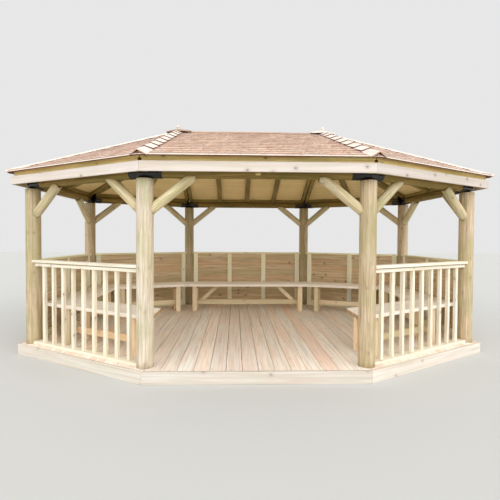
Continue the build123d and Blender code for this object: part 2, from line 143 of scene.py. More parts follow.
def clip(outline, point, normal):
    """The part of a convex outline on the side of a line that the normal points to."""
    here = (outline - point) @ np.asarray(normal, float)
    after = np.roll(here, -1)
    crossing = (here > 0) != (after > 0)
    share = np.where(crossing, here / np.where(crossing, here - after, 1), 0)
    cut = outline + (np.roll(outline, -1, 0) - outline) * share[:, None]
    kept = np.stack([here > 0, crossing], 1).ravel()
    return np.stack([outline, cut], 1).reshape(-1, 2)[kept]


metre_square = np.array([(0.0, 0), (1, 0), (1, 1), (0, 1)])
print("a metre square, its first edge moved in", inset(metre_square, [0.1, 0, 0, 0]).round(3).tolist())

# %% [markdown]
# Each side of the building has a direction along it and one inward, and a roof slope that rises from it.
# The slopes of the front and the back run up to the ridge, and each of the other six is a triangle that
# runs up to one end of it. Side number i goes from corner i to the next.

# %% Sides and slopes
side_names = ("front_left", "front", "front_right", "right", "back_right", "back", "back_left", "left")


class Side:
    """One side of the building and the roof slope above it."""

    def __init__(self, number):
        corners = ring(post_ring)
        self.number, self.following, self.name = number, (number + 1) % 8, side_names[number]
        self.start, end = corners[number], corners[self.following]
        self.middle, self.length = (self.start + end) / 2, np.linalg.norm(end - self.start)
        self.along = (end - self.start) / self.length
        self.inward = leftward(self.along)
        self.meets_ridge = self.name in ("front", "back")
        self.hubs = [hub(self.following)] + ([hub(number)] if self.meets_ridge else [])
        self.rise = pitch_rise * post_ring / ((self.hubs[0] - self.middle) @ self.inward)

    def slope_outline(self, radius, eave=0.0, hip=0.0, ridge=0.0):
        """Plan of the slope, from a ring up to the ridge, with each edge kept back."""
        corners = roof_ring(radius)
        outline = np.array([corners[self.number], corners[self.following], *self.hubs])
        return inset(outline, [eave, hip, ridge, hip] if self.meets_ridge else [eave, hip, hip])

    def height(self, plan, at_ridge):
        """Height of the slope over points of the plan: ridge height - rise * distance outward."""
        return at_ridge - self.rise * ((self.hubs[0] - plan) @ self.inward)


sides = [Side(number) for number in range(8)]
print("slopes rise", {side.name: round(side.rise, 3) for side in sides})

# %% [markdown]
# ## One pile for each object
# A wall or a deck is dozens of boards. Separate objects for them would be slow and a single box would be
# dull, so a pile gathers the boards of one object in one mesh. Each board keeps two things of its own:
# a stretch of grain, which is a UV map in metres that starts at a random place, and a tone from 0 to 1.

# %% Pile
class Pile:
    """Points, faces, grain map and tones of all the boards of one object."""

    def __init__(self):
        self.points, self.tones, self.faces, self.grain, self.finish, self.smooth = [], [], [], [], [], []
        self.count = 0

    def add_points(self, points, tones):
        """Gives back the number of the first point that was added."""
        self.points.append(points.reshape(-1, 3))
        self.tones.append(np.broadcast_to(tones, len(self.points[-1])))
        self.count += len(self.points[-1])
        return self.count - len(self.points[-1])

    def add_faces(self, faces, grain, finish=0, smooth=False):
        """faces is (m, k) point numbers and grain (m, k, 2) metres along and across the grain."""
        self.faces.append(faces)
        self.grain.append(grain)
        self.finish.append(np.full(len(faces), finish))
        self.smooth.append(np.full(len(faces), smooth))


trial = Pile()
trial.add_points(np.eye(3), 0.5)
print("a pile with one triangle has", trial.count, "points")

# %% [markdown]
# A full pile becomes one mesh. Whole arrays go in through foreach_set, which is far quicker than adding
# points one by one. The piece is then attached to the body it rides on, and the nodes of the solid model
# that it stands for are hidden.

# %% From a pile to a piece
def make_piece(pile, name, finishes, nodes=()):
    """One object from a pile: finish i of the list goes on the faces that were given the number i."""
    sizes = np.concatenate([np.full(len(f), f.shape[1]) for f in pile.faces])
    mesh = bpy.data.meshes.new(name)
    mesh.vertices.add(pile.count)
    mesh.vertices.foreach_set("co", np.concatenate(pile.points).ravel())
    mesh.loops.add(int(sizes.sum()))
    mesh.loops.foreach_set("vertex_index", np.concatenate([f.ravel() for f in pile.faces]))
    mesh.polygons.add(len(sizes))
    mesh.polygons.foreach_set("loop_start", np.concatenate([[0], np.cumsum(sizes)[:-1]]))
    mesh.polygons.foreach_set("loop_total", sizes)
    mesh.polygons.foreach_set("material_index", np.concatenate(pile.finish))
    mesh.update(calc_edges=True)
    mesh.polygons.foreach_set("use_smooth", np.concatenate(pile.smooth))
    grain = mesh.uv_layers.new(name="grain")
    grain.uv.foreach_set("vector", np.concatenate([g.reshape(-1, 2) for g in pile.grain]).ravel())
    tone = mesh.attributes.new("tone", "FLOAT", "POINT")
    tone.data.foreach_set("value", np.concatenate(pile.tones).astype(np.float32))
    for finish in finishes:
        mesh.materials.append(finish)
    piece = bpy.data.objects.new(name, mesh)
    bpy.context.scene.collection.objects.link(piece)
    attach(piece, "root")
    if nodes:
        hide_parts(*nodes)
    print(name, len(sizes), "faces")


print(len(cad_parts), "nodes to dress")

# %% [markdown]
# ## Timber by the metre
# Nearly every member here is a profile carried along a straight line: a rail, a board, a pole. What
# differs is how its ends are cut, and that is worked out line by line: each corner line of the profile
# runs until it meets a plane (a mitre) or a cylinder (a notch round a post).

# %% Cuts
def plane(point, normal):
    """Cut by a plane: a line p + d t meets it at t = (point - p) . n / d . n."""
    return lambda lines, along: (point - lines) @ normal / (along @ normal)


def cylinder(point, axis, radius, way):
    """Cut by round timber: |p + d t| = R across the axis is a quadratic, and way picks its root."""
    def meet(lines, along):
        across = np.eye(3) - np.outer(axis, axis)
        p, d = (lines - point) @ across, along @ across
        a, b, c = d @ d, p @ d, (p * p).sum(1) - radius ** 2
        return (-b + way * np.sqrt(np.maximum(b * b - a * c, 0))) / a
    return meet


def sooner(first, second):
    """Of two cuts, the one that each line meets first."""
    return lambda lines, along: np.minimum(first(lines, along), second(lines, along))


east = np.array([1.0, 0, 0])
print("the face of a post 1 m away is at", cylinder(east, up, post_radius, -1)(np.zeros((1, 3)), east))

# %% [markdown]
# The profile is a list of corners, so many metres to the side and up. The corners of a board are planed
# off a little, as on real timber, because an edge without any width catches no light.

# %% A profile carried along a line
def eased(a0, a1, b0, b1, ease=0.002):
    """A rectangle with its four corners planed off, anticlockwise."""
    return np.array([(a0 + ease, b0), (a1 - ease, b0), (a1, b0 + ease), (a1, b1 - ease),
                     (a1 - ease, b1), (a0 + ease, b1), (a0, b1 - ease), (a0, b0 + ease)])


def timber(pile, origin, along, upright, outline, start, end, tone=None, finish=0, cap=1,
           smooth=False, stations=(0.0, 1.0), swell=1.0):
    """A profile carried along a line: P = origin + side a + up b + along t, side = up x along.

    t goes from start to end, which are distances or cuts. swell scales the profile at each station.
    """
    origin, along, upright = np.asarray(origin, float), np.asarray(along, float), np.asarray(upright, float)
    across = np.cross(upright, along)
    lines = origin + outline[:, :1] * across + outline[:, 1:] * upright
    t0, t1 = (cut(lines, along) if callable(cut) else np.full(len(outline), cut) for cut in (start, end))
    t = t0 + (t1 - t0) * np.asarray(stations)[:, None]
    shape = np.ones_like(t) * swell
    a, b = outline[:, 0] * shape, outline[:, 1] * shape
    points = origin + a[..., None] * across + b[..., None] * upright + t[..., None] * along
    base = pile.add_points(points, luck.random() if tone is None else tone)
    rings, count = t.shape
    i, j = np.mgrid[0:rings - 1, 0:count]
    after = (j + 1) % count
    round_it = np.concatenate([[0], np.cumsum(np.linalg.norm(np.roll(outline, -1, 0) - outline, axis=1))])
    shift = luck.uniform(0, 40, 2)
    corners = [(i, j, j), (i, after, j + 1), (i + 1, after, j + 1), (i + 1, j, j)]
    faces = np.stack([base + r * count + c for r, c, _ in corners], -1).reshape(-1, 4)
    grain = np.stack([np.stack([t[r, c], round_it[v]], -1) for r, c, v in corners], -2).reshape(-1, 4, 2)
    pile.add_faces(faces, grain + shift, finish, smooth)
    last = base + (rings - 1) * count + np.arange(count)
    first = base + np.arange(count)[::-1]
    for numbers, flat in ((first, outline[::-1]), (last, outline)):
        pile.add_faces(numbers[None], flat[None] + shift * 0.1, cap)


print("a planed board has", len(eased(0, 0.1, 0, 0.02)), "lines along it")

# %% [markdown]
# Boards that lie in a roof slope are easier as prisms: an outline in plan, with a height under and over
# each of its corners. One call makes any number of them, so thousands of shingles stay quick.

# %% Prisms between slopes
def prisms(pile, plans, low, high, grain, tones=None, finish=0, under=None, wall=None):
    """Upright prisms on (m, n, 2) anticlockwise outlines, between heights (m, n).

    The top has the finish, and so have the underside and the walls where no other is given for them.
    """
    plans, low, high = plans.reshape(-1, *plans.shape[-2:]), np.atleast_2d(low), np.atleast_2d(high)
    m, n = plans.shape[:2]
    points = np.concatenate([np.dstack([plans, low]), np.dstack([plans, high])], 1)
    tones = luck.random(m) if tones is None else tones
    base = pile.add_points(points, np.repeat(tones, 2 * n))
    shift = luck.uniform(0, 40, (m, 1, 2))
    across = leftward(grain)
    mapped = np.stack([points[..., :2] @ grain, points[..., :2] @ across + points[..., 2]], -1) + shift
    k = np.arange(n)
    walls = np.stack([k, (k + 1) % n, n + (k + 1) % n, n + k], -1)
    first = base + np.arange(m)[:, None] * 2 * n
    pile.add_faces((first[..., None] + walls).reshape(-1, 4), mapped[:, walls].reshape(-1, 4, 2),
                   finish if wall is None else wall)
    pile.add_faces(first + k[::-1], mapped[:, k[::-1]], finish if under is None else under)
    pile.add_faces(first + n + k, mapped[:, n + k], finish)


over_posts = sides[1].height(sides[1].middle, shingles_at_ridge)
print("the shingles pass over the front posts at", round(float(over_posts), 3))

# %% [markdown]
# Round timber like this is machined to a cylinder while it is still wet, and splits as it dries. The
# splits follow the grain and close at both ends, so each is a slit that is deepest in its middle.

# %% Round timber
rim_lines = 40


def pole(pile, origin, along, upright, radius, start, end, checks=3, steps=24, stations=None, swell=None):
    """Round timber with drying checks: r = R (1 - waver - depth sqrt(1 - ((s - middle) / half)^2)).

    Each check has three lines of points of its own, so it stays narrow however coarse the pole is. It is
    1.2 to 2.8 mm wide to each side and 4 to 10 mm deep, and its middle and half length are shares of
    the pole.
    """
    middles = luck.uniform(0, 2 * np.pi, checks)
    widths = luck.uniform(0.0012, 0.0028, checks) / radius
    rim = np.arange(rim_lines) * np.pi / (rim_lines / 2)
    turn = np.concatenate([rim, middles, middles - widths, middles + widths]) % (2 * np.pi)
    which = np.concatenate([np.full(rim_lines, -1), np.arange(checks), np.full(2 * checks, -1)])
    order = np.argsort(turn)
    turn, which = turn[order], which[order]
    s = np.linspace(0, 1, steps + 1) if stations is None else np.asarray(stations)
    bend = np.ones(len(s)) if swell is None else np.asarray(swell)
    centre, half = luck.uniform(0.15, 0.85, checks), luck.uniform(0.15, 0.5, checks)
    depth = luck.uniform(0.004, 0.010, checks) / radius
    opening = depth * np.sqrt(np.maximum(1 - ((s[:, None] - centre) / half) ** 2, 0))
    opening = np.column_stack([opening, np.zeros(len(s))])[:, which]
    waver = 0.004 * (1 + np.sin(2 * turn + luck.uniform(0, 6) + 2 * s[:, None]))
    timber(pile, origin, along, upright, circle(radius, turn), start, end, smooth=True, stations=s,
           swell=bend[:, None] * (1 - waver - opening))


print("a pole with three splits has", rim_lines + 3 * 3, "lines along it")

# %% [markdown]
# Boards along a side of the building end in one of two ways. Where they form a ring they are mitred: both
# are cut in the upright plane that halves the corner. Where they run from post to post they are notched
# to the round of the posts.

# %% Boards along a side
def mitre(corner, side, corners, gap=0.001):
    """The upright plane that halves the angle at a ring's corner, a hair inside this side's board."""
    before, after = sides[corner - 1].along, sides[corner].along
    halfway = (before + after) / np.linalg.norm(before + after)
    way = 1 if corner == side.number else -1
    return plane(level(corners[corner] + side.along * way * gap), level(halfway))


def side_board(pile, side, outline, corners=None, clearance=0.0005, **more):
    """A board along one side, its profile in metres inward from the posts and up from the ground.

    It ends at the posts, or, where a ring's corners are given, in mitres on them.
    """
    if corners is None:
        ends_at = [cylinder(level(ring(post_ring)[corner]), up, post_radius + clearance, way)
                   for corner, way in ((side.number, 1), (side.following, -1))]
    else:
        ends_at = mitre(side.number, side, corners), mitre(side.following, side, corners)
    timber(pile, level(side.start), level(side.along), up, outline, *ends_at, **more)


def boards_round(corners, low, high, thickness, ease=0.003):
    """A ring of mitred boards on edge, their outer faces on the outline with the given corners."""
    pile = Pile()
    for side in sides:
        out = (side.start - corners[side.number]) @ side.inward
        side_board(pile, side, eased(-out, thickness - out, low, high, ease), corners)
    return pile


print("clear lengths between posts", [round(float(side.length) - 2 * post_radius, 3) for side in sides[:2]])

# %% [markdown]
# ## What timber looks like
# All of it is softwood left in the weather: pressure treated timber, and cedar on the roof. One recipe
# serves for both. It is drawn with nodes that read the grain map, and these few helpers keep it short.

# %% Node helpers
def wire(tree, kind, inputs=None, **settings):
    """Adds a node. Each input is a value to set or the output of another node to link."""
    node = tree.nodes.new("ShaderNode" + kind)
    for key, value in settings.items():
        setattr(node, key, value)
    for key, value in (inputs or {}).items():
        if isinstance(value, bpy.types.NodeSocket):
            tree.links.new(value, node.inputs[key])
        else:
            node.inputs[key].default_value = value
    return node


def srgb(red, green, blue):
    """A colour as it is seen, 0 to 255, as linear light: ((c + 0.055) / 1.055) ^ 2.4."""
    c = np.array([red, green, blue]) / 255
    return (*np.where(c < 0.04045, c / 12.92, ((c + 0.055) / 1.055) ** 2.4).tolist(), 1.0)


def mix(tree, share, first, second):
    """first (1 - share) + second share."""
    return wire(tree, "Mix", {0: share, 6: first, 7: second}, data_type="RGBA").outputs[2]


def spread(tree, value, low, high, to_low=0.0, to_high=1.0):
    """Maps low..high on to_low..to_high and holds it there."""
    return wire(tree, "MapRange", {0: value, 1: low, 2: high, 3: to_low, 4: to_high}).outputs[0]


def noise(tree, vector, scale, detail=3.0, rough=0.5, distort=0.0):
    """Clouds of noise, with its own number of bumps per metre each way."""
    moved = wire(tree, "Mapping", {0: vector, 3: scale}).outputs[0]
    return wire(tree, "TexNoise", {"Vector": moved, "Scale": 1.0, "Detail": detail, "Roughness": rough,
                                   "Distortion": distort}).outputs[0]


print("a middle grey is this much light:", round(srgb(128, 128, 128)[0], 3))

# %% [markdown]
# A finish starts as a plain shader. When its colour, its roughness and the height of its surface are
# worked out, the last step plugs them in, the height through a bump of so many metres.

# %% Start and end of a finish
def new_finish(name):
    """A material by that name, and its nodes."""
    finish = bpy.data.materials.new(name)
    finish.use_nodes = True
    return finish, finish.node_tree


def plug_in(tree, colour, rough, height, strength, distance):
    """Colour, roughness and bumped surface go into the shader, which is given back."""
    shader = tree.nodes["Principled BSDF"]
    bump = wire(tree, "Bump", {"Strength": strength, "Distance": distance, "Height": height}).outputs[0]
    for socket, value in (("Base Color", colour), ("Roughness", rough), ("Normal", bump)):
        tree.links.new(value, shader.inputs[socket])
    print(len(tree.nodes), "nodes in a finish")
    return shader


# %% [markdown]
# Knots come first. They have to stay nearly round, while the figure of the wood is drawn out along the
# grain. A net of cells lies over the grain map, each cell has one point, and a third of the points carry
# a knot with a ring of darker wood round it.

# %% Knots
knot_net = (4.4, 5.6, 1)


def knot_marks(tree, grain, strength):
    """Knot = inside about 11 mm of a chosen point, halo = a weaker ring that fades out by 40 mm."""
    net = wire(tree, "Mapping", {0: grain, 3: knot_net}).outputs[0]
    cell = wire(tree, "TexVoronoi", {"Vector": net, "Scale": 1.0}, voronoi_dimensions="2D")
    pick = wire(tree, "SeparateColor", {0: cell.outputs["Color"]}).outputs[0]
    chosen = spread(tree, pick, 0.64, 0.66, 0, strength)
    heart = spread(tree, cell.outputs["Distance"], 0.035, 0.062, 1, 0)
    halo = spread(tree, cell.outputs["Distance"], 0.05, 0.19, 0.35, 0)
    marks = wire(tree, "Math", {0: heart, 1: halo}, operation="MAXIMUM").outputs[0]
    return wire(tree, "Math", {0: marks, 1: chosen}, operation="MULTIPLY").outputs[0]


print("knots per square metre:", round(knot_net[0] * knot_net[1] * 0.35, 1))

# %% [markdown]
# Then the wood itself. Broad figure runs between a pale and a deep colour. Fine fibres and coarser lines
# darken it, patches and long streaks turn it green or grey, and the tone of the board shifts all of it:
# the lowest tones take on more of the patch colour, and the highest that of an odd board.

# %% Timber
def wood(name, pale, deep, patch, patches=0.35, streak=0.35, knots=0.6, tones=0.12, rough=0.72, relief=0.5,
         dirt=(96, 82, 60), odd=(206, 150, 108), odd_share=0.0, wavy=1.0):
    """Softwood: colour = figure(pale, deep), then fibres, patches, streaks, board tone, and knots."""
    finish, tree = new_finish(name)
    grain = wire(tree, "UVMap", uv_map="grain").outputs[0]
    tone = wire(tree, "Attribute", attribute_name="tone").outputs["Fac"]
    place = wire(tree, "TexCoord").outputs["Object"]
    fibre = noise(tree, grain, (5.0, 260, 1), 4, 0.6)
    line = noise(tree, grain, (1.3 * wavy, 52, 1), 3, 0.55, 0.4 * wavy)
    figure = noise(tree, grain, (0.7, 13, 1), 3, 0.5, 1.1 * wavy)
    patchy = noise(tree, place, (1.7, 1.7, 1.7), 4, 0.6, 0.3)
    long_streak = noise(tree, grain, (0.9 * wavy, 15, 1), 4, 0.6, 0.6 * wavy)
    colour = mix(tree, spread(tree, figure, 0.35, 0.68), srgb(*pale), srgb(*deep))
    for source, low, high, share, tint in (
            (line, 0.42, 0.75, streak, dirt), (fibre, 0.50, 0.80, streak, dirt),
            (patchy, 0.45, 0.72, patches, patch), (long_streak, 0.52, 0.70, patches * 0.8, patch),
            (tone, 0.30, 0.0, odd_share, patch), (tone, 0.72, 1.0, odd_share, odd)):
        colour = mix(tree, spread(tree, source, low, high, 0, share), colour, srgb(*tint))
    value = spread(tree, tone, 0, 1, 1 - tones, 1 + tones)
    colour = wire(tree, "HueSaturation", {"Value": value, "Color": colour}).outputs[0]
    colour = mix(tree, knot_marks(tree, grain, knots), colour, srgb(92, 60, 36))
    height = wire(tree, "Math", {0: fibre, 1: line}, operation="ADD").outputs[0]
    dull = spread(tree, line, 0.3, 0.8, rough - 0.1, rough + 0.12)
    shader = plug_in(tree, colour, dull, height, relief, 0.0016)
    shader.inputs["Specular IOR Level"].default_value = 0.3
    return finish


# Dark olive: painted shade under the eaves, with the green of the ground's light in it. It also serves as
# painted shade in a groove.
painted_shade_olive_wood = wood("olive_painted_shade", (159, 133, 71), (125, 102, 46), (102, 98, 40), patches=0.6, knots=0.8,
                 wavy=2.4)
rafter_wood = wood("sawn_rafters", (163, 142, 80), (131, 108, 52), (109, 101, 47), patches=0.5)

# %% [markdown]
# A sawn end shows the year rings instead. They are bands by distance from a heart that mostly lies off
# the board, darkened by fine grain, and rougher than a planed face.

# %% Cut ends
def end_grain_finish(name="sawn_end_grain"):
    """Year rings in a cut end: bands by distance from a heart that lies off the board."""
    finish, tree = new_finish(name)
    grain = wire(tree, "UVMap", uv_map="grain").outputs[0]
    rings = wire(tree, "TexWave", {"Vector": grain, "Scale": 34.0, "Distortion": 3.0, "Detail": 2.0},
                 wave_type="RINGS").outputs[0]
    fine = noise(tree, grain, (160, 160, 1), 3, 0.6)
    colour = mix(tree, rings, srgb(196, 168, 120), srgb(150, 118, 78))
    colour = mix(tree, spread(tree, fine, 0.5, 0.8, 0, 0.5), colour, srgb(104, 80, 54))
    plug_in(tree, colour, spread(tree, fine, 0.3, 0.8, 0.7, 0.95), fine, 0.4, 0.001)
    return finish


end_grain = end_grain_finish()

# %% [markdown]
# ## Posts
# The eight posts are full round timber with a small chamfer at the top. The one left of the entrance is the
# palest and most of the others have gone tan. The two at the back stand in the shade, which is painted into
# them as a browner, darker copy of the finish.

# %% Posts
corner_names = ("left_front", "front_left", "front_right", "right_front",
                "right_back", "back_right", "back_left", "left_back")
post_look = dict(patches=0.75, tones=0.03, streak=0.55, wavy=2.4)
post_wood = wood("treated_post", (232, 220, 202), (208, 188, 159), (171, 169, 123), knots=0.3,
                 dirt=(120, 108, 84), **post_look)
tan_post_wood = wood("tanned_post", (221, 200, 173), (193, 169, 128), (164, 158, 111), knots=0.4,
                     dirt=(112, 96, 66), **post_look)
# A browner, darker copy of the post finish: painted shade for the two back posts.
shade_darkened_post_wood = wood("post_painted_shade", (206, 187, 158), (179, 158, 116), (152, 147, 100), knots=0.4,
                       dirt=(112, 96, 66), **post_look)


def post(name, corner, finish, chamfer=0.006, parts=30):
    """A pole from the deck to the beams, of full radius up to the chamfer and 6 mm less at its top."""
    pile, foot, tall = Pile(), level(ring(post_ring)[corner], deck_top), post_top - deck_top
    stations = np.concatenate([np.linspace(0, 1 - chamfer / tall, parts), [1]])
    pole(pile, foot, up, (1, 0, 0), post_radius, 0, tall, checks=5, stations=stations,
         swell=np.concatenate([np.ones(parts), [1 - chamfer / post_radius]]))
    make_piece(pile, f"turned_{name}_post", [finish, end_grain], [f"{name}_post"])


for corner, name in enumerate(corner_names):
    own_wood = {"front_left": post_wood, "back_right": shade_darkened_post_wood, "back_left": shade_darkened_post_wood}
    post(name, corner, own_wood.get(name, tan_post_wood))

# %% [markdown]
# ## Ring beams
# A thinner pole lies over the post tops along each side, and meets the next one in a mitre. Under the eaves
# it stands in shade, lit only from the green ground, and that shade is painted into it as a dark olive
# colour.

# %% Ring beams
for side in sides:
    pile, corners = Pile(), ring(post_ring)
    pole(pile, level(side.start, beam_axis), level(side.along), up, beam_radius,
         mitre(side.number, side, corners), mitre(side.following, side, corners), checks=4)
    make_piece(pile, f"turned_{side.name}_beam", [painted_shade_olive_wood, end_grain],
               [f"{side.name}_beam"])

# %% [markdown]
# ## Knee braces
# From each post a pole slants up to each of its two beams, so that the frame can't lean. It is notched
# round the post and the beam. Where it would run out thin under the beam, it is cut level and blunt.

# %% Knee braces
brace_wood = wood("treated_brace", (232, 219, 184), (206, 186, 142), (161, 160, 108), patches=0.6, wavy=2.4)


def knee_brace(pile, corner, direction, drop=0.4003, reach=0.497, top=0.030, tip=0.489, clearance=0.0003):
    """A pole from the axis of the post, `drop` below the beam's, to the beam's, `reach` out along it."""
    foot = level(ring(post_ring)[corner], beam_axis - drop)
    slant = level(direction * reach, drop)
    slant /= np.linalg.norm(slant)
    head = level(ring(post_ring)[corner], beam_axis)
    upright = np.cross(slant, level(leftward(direction)))
    notch = cylinder(head, level(direction), beam_radius + clearance, -1)
    blunt = sooner(plane(head - up * top, up), plane(head + level(direction * tip), level(direction)))
    pole(pile, foot, slant, upright, beam_radius, cylinder(foot, up, post_radius + clearance, 1),
         sooner(notch, blunt), checks=3, steps=12)


for half, end in (("left", -1), ("right", 1)):
    pile = Pile()
    for corner in np.flatnonzero(ends == end):
        knee_brace(pile, corner, sides[corner].along)
        knee_brace(pile, corner, -sides[corner - 1].along)
    make_piece(pile, f"turned_{half}_braces", [brace_wood, end_grain],
               [f"{half}_knee_braces"])

# %% [markdown]
# ## Deck
# The floor is of grooved boards that run from the back to the front, 150 mm wide with 5 mm between them.
# The grooves are in the profile itself, because from the side of the gazebo they show as real steps.
# The joists below them have the right shape already, so they stay and only get a finish.

# %% Deck boards and joists
deck_wood = wood("grooved_deck", (255, 255, 246), (255, 238, 220), (255, 228, 212), tones=0.10, streak=0.42,
                 knots=0.25, dirt=(136, 104, 84), odd=(226, 184, 156), odd_share=0.42)
slant_cos, slant_sin, skirt_room = 0.8660254, 0.5, 0.029


def deck_board_outline(left, right, grooves=14, thick=0.028, deep=0.0018, arris=0.003):
    """Fourteen shallow grooves across the top of a board, and an arris at each edge."""
    middles = np.linspace(right - 0.010, left + 0.010, grooves)
    steps = np.array([(0.0022, 0), (0.0012, -deep), (-0.0012, -deep), (-0.0022, 0)])
    channel = (np.array([[m, deck_top] for m in middles])[:, None] + steps).reshape(-1, 2)
    low, high = deck_top - thick, deck_top - arris
    return np.vstack([[(left, low), (right, low), (right, high), (right - arris, deck_top)],
                      channel, [(left + arris, deck_top), (left, high)]])


def to_skirt(lines, along):
    """Cut at the inside of the skirt. A distance x beyond the middle bay it has fallen back at 30 degrees.

    y = (R cos - room - x sin) / cos, and never more than R - room.
    """
    outside = np.maximum(np.abs(lines[:, 0]) - half_bay, 0)
    slanted = (slant_cos * deck_ring - skirt_room - slant_sin * outside) / slant_cos
    return np.minimum(deck_ring - skirt_room, slanted)


pile, board_pitch, first_gap, gap = Pile(), 0.155, 0.0125, 0.005
half_long = half_bay + (deck_ring * slant_cos - skirt_room)
for k in range(-18, 18):
    left = max(first_gap + board_pitch * k + gap / 2, -half_long)
    right = min(first_gap + board_pitch * (k + 1) - gap / 2, half_long)
    if right - left > 0.03:
        timber(pile, (0, 0, 0), (0, -1, 0), up, deck_board_outline(left, right),
               lambda lines, along: -to_skirt(lines, along), to_skirt)
make_piece(pile, "deck_boards", [deck_wood, end_grain], ["deck_floor"])
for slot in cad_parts["deck_joists"].material_slots:
    slot.material = rafter_wood

# %% [markdown]
# Boards on edge hide the ends of the joists all round. They get the full light of the open ground and
# have weathered nearly white.

# %% Skirt
skirt_wood = wood("deck_skirt_boards", (219, 212, 202), (205, 191, 176), (191, 190, 168), streak=0.22,
                  knots=0.5)
make_piece(boards_round(ring(deck_ring), 0, deck_top, 0.028), "skirt_boards",
           [skirt_wood, end_grain], ["deck_skirt"])

# %% [markdown]
# ## Roof panels
# Each slope is one ready-made panel on rafters. Two rafters meet at every hip with a gap between them,
# others run up the middle, and a rail along the eave rests on the beams. They are prisms between two
# parallel slopes, and cut level where they would come lower than 10 mm below the axes of the beams.

# %% Rafters
def rafter(pile, side, plan, deep=0.049, floor=1.982):
    """A prism from 2 mm above the underside of the lining down, to a parallel slope or a level floor."""
    split = (side.height(side.hubs[0], lining_at_ridge - deep) - floor) / side.rise
    line = side.hubs[0] - side.inward * split
    grain = side.inward if np.ptp(plan @ side.inward) > np.ptp(plan @ side.along) else side.along
    tone = luck.random(1)
    for part, is_level in ((clip(plan, line, side.inward), False), (clip(plan, line, -side.inward), True)):
        if len(part) > 2:
            low = np.full(len(part), floor) if is_level else side.height(part, lining_at_ridge - deep)
            prisms(pile, part, low, side.height(part, lining_at_ridge + 0.002), grain, tone, 1)


def beside_hip(side, corner):
    """Directions in plan: out along a hip, and square to it towards the middle of a side."""
    hip = ring(post_ring)[corner] - hub(corner)
    outward = hip / np.linalg.norm(hip)
    beside = leftward(outward)
    return outward, beside if beside @ (side.middle - hub(corner)) > 0 else -beside


def own_half(side, corner, outline):
    """On a triangle, the part of an outline on a corner's side of its middle line. Elsewhere all of it."""
    if side.meets_ridge:
        return outline
    towards = side.along if corner == side.following else -side.along
    return clip(outline, side.hubs[0] + towards * 0.001, towards)


print("hips slope out along", beside_hip(sides[0], 0)[0].round(3), "and so on round the roof")

# %% [markdown]
# The panel itself is a smooth beige lining with boards on it. From outside its edge shows as two layers,
# the upper one a little further out, so it is built as two prisms. Under the front eave a small block
# hangs in the middle.

# %% Panels
panel_wood = wood("roof_panel_boards", (255, 234, 149), (233, 174, 103), (199, 166, 96), patches=0.7,
                  knots=0.9)
panel_edge_wood = wood("panel_edge_boards", (238, 211, 138), (205, 174, 103), (169, 162, 94), patches=0.6)
lining_wood = wood("smooth_lining", (255, 229, 171), (243, 212, 149), (220, 201, 129), patches=0.4,
                   streak=0.10, knots=0.12, relief=0.15)
lower_layer, behind_fascia, ridge_gap = 0.088, 0.022, 0.003


def between(side, outline, low, high):
    """The strip of an outline between two distances inward from the line of the posts."""
    outline = clip(outline, side.middle + side.inward * high, -side.inward)
    return clip(outline, side.middle + side.inward * low, side.inward)


def roof_panel(side, hip_rafter=0.063, half_mid=0.039, half_rail=0.030):
    """Two layers of board, two hip rafters, one or three mid rafters and an eave rail."""
    pile = Pile()
    plan, inner, upper, lower = (side.slope_outline(fascia_ring, behind_fascia, from_hip, ridge_gap)
                                 for from_hip in (0.008, hip_rafter + 0.0002, 0.006, 0.020))
    layer_top = lining_at_ridge + lower_layer
    prisms(pile, lower, side.height(lower, lining_at_ridge), side.height(lower, layer_top), side.along,
           finish=2, wall=3)
    prisms(pile, upper, side.height(upper, layer_top), side.height(upper, panel_at_ridge), side.along)
    for corner in (side.number, side.following):
        beside = beside_hip(side, corner)[1]
        rafter(pile, side, own_half(side, corner, clip(plan, hub(corner) + beside * hip_rafter, -beside)))
    for spot in (-0.5, 0, 0.5) if side.meets_ridge else (0,):
        strip = inner
        for way in (-1, 1):
            strip = clip(strip, side.middle + side.along * (spot + way * half_mid), -side.along * way)
        rafter(pile, side, strip)
    rafter(pile, side, between(side, inner, -half_rail, half_rail), 0.048)
    if side.name == "front":
        timber(pile, level(side.middle + side.along * -0.006), (0, 1, 0), up,
               eased(-0.021, 0.021, 1.953, 1.984), -0.192, -0.172, finish=2)
    make_piece(pile, f"dressed_{side.name}_panel",
               [panel_wood, rafter_wood, lining_wood, panel_edge_wood], [f"{side.name}_roof_panel"])


for side in sides:
    roof_panel(side)

# %% [markdown]
# ## Fascia
# Planed boards on edge close the rafter ends all round and are mitred at the corners, like the skirt
# below. Only the finish differs: fewer streaks and more knots.

# %% Fascia
fascia_wood = wood("fascia_boards", (222, 212, 206), (210, 197, 183), (195, 191, 170), streak=0.13,
                   knots=0.7)
make_piece(boards_round(roof_ring(fascia_ring), 1.977, 2.072, 0.022), "mitred_fascia",
           [fascia_wood, end_grain], ["fascia_boards"])

# %% [markdown]
# ## Shingles
# Split shingles lie in courses. Each is a wedge: thick where it ends, thin where the next course covers
# it, and no two are the same width. A course fills its slope from hip to hip, so first comes how far
# left and right the slope reaches at a distance d from the ridge.

# %% How wide a slope is
def hip_limits(side, outline):
    """Both hips as straight lines: a = a near + (a far - a near) (d - d near) / (d far - d near)."""
    left, right = outline[[0, 3 if side.meets_ridge else 2]], outline[[1, 2]]

    def edge(pair, d):
        far, near = ((side.hubs[0] - p) @ side.inward for p in pair)
        a_far, a_near = ((p - side.middle) @ side.along for p in pair)
        return a_near + (a_far - a_near) * (d - near) / (far - near)
    return lambda d: (edge(left, d), edge(right, d))


reach = hip_limits(sides[1], sides[1].slope_outline(shingle_ring))
print("the front slope is", np.diff(reach(1.0), axis=0).round(2), "wide a metre out from the ridge")

# %% [markdown]
# A course is made at once from arrays: random widths laid end to end, cut off at the hips, with a little
# play at the lower ends. Courses near the eave have gone the greyest, and the top ones are still red.

# %% Courses
most, cedar_depth, butt = 110, 0.021, 0.011


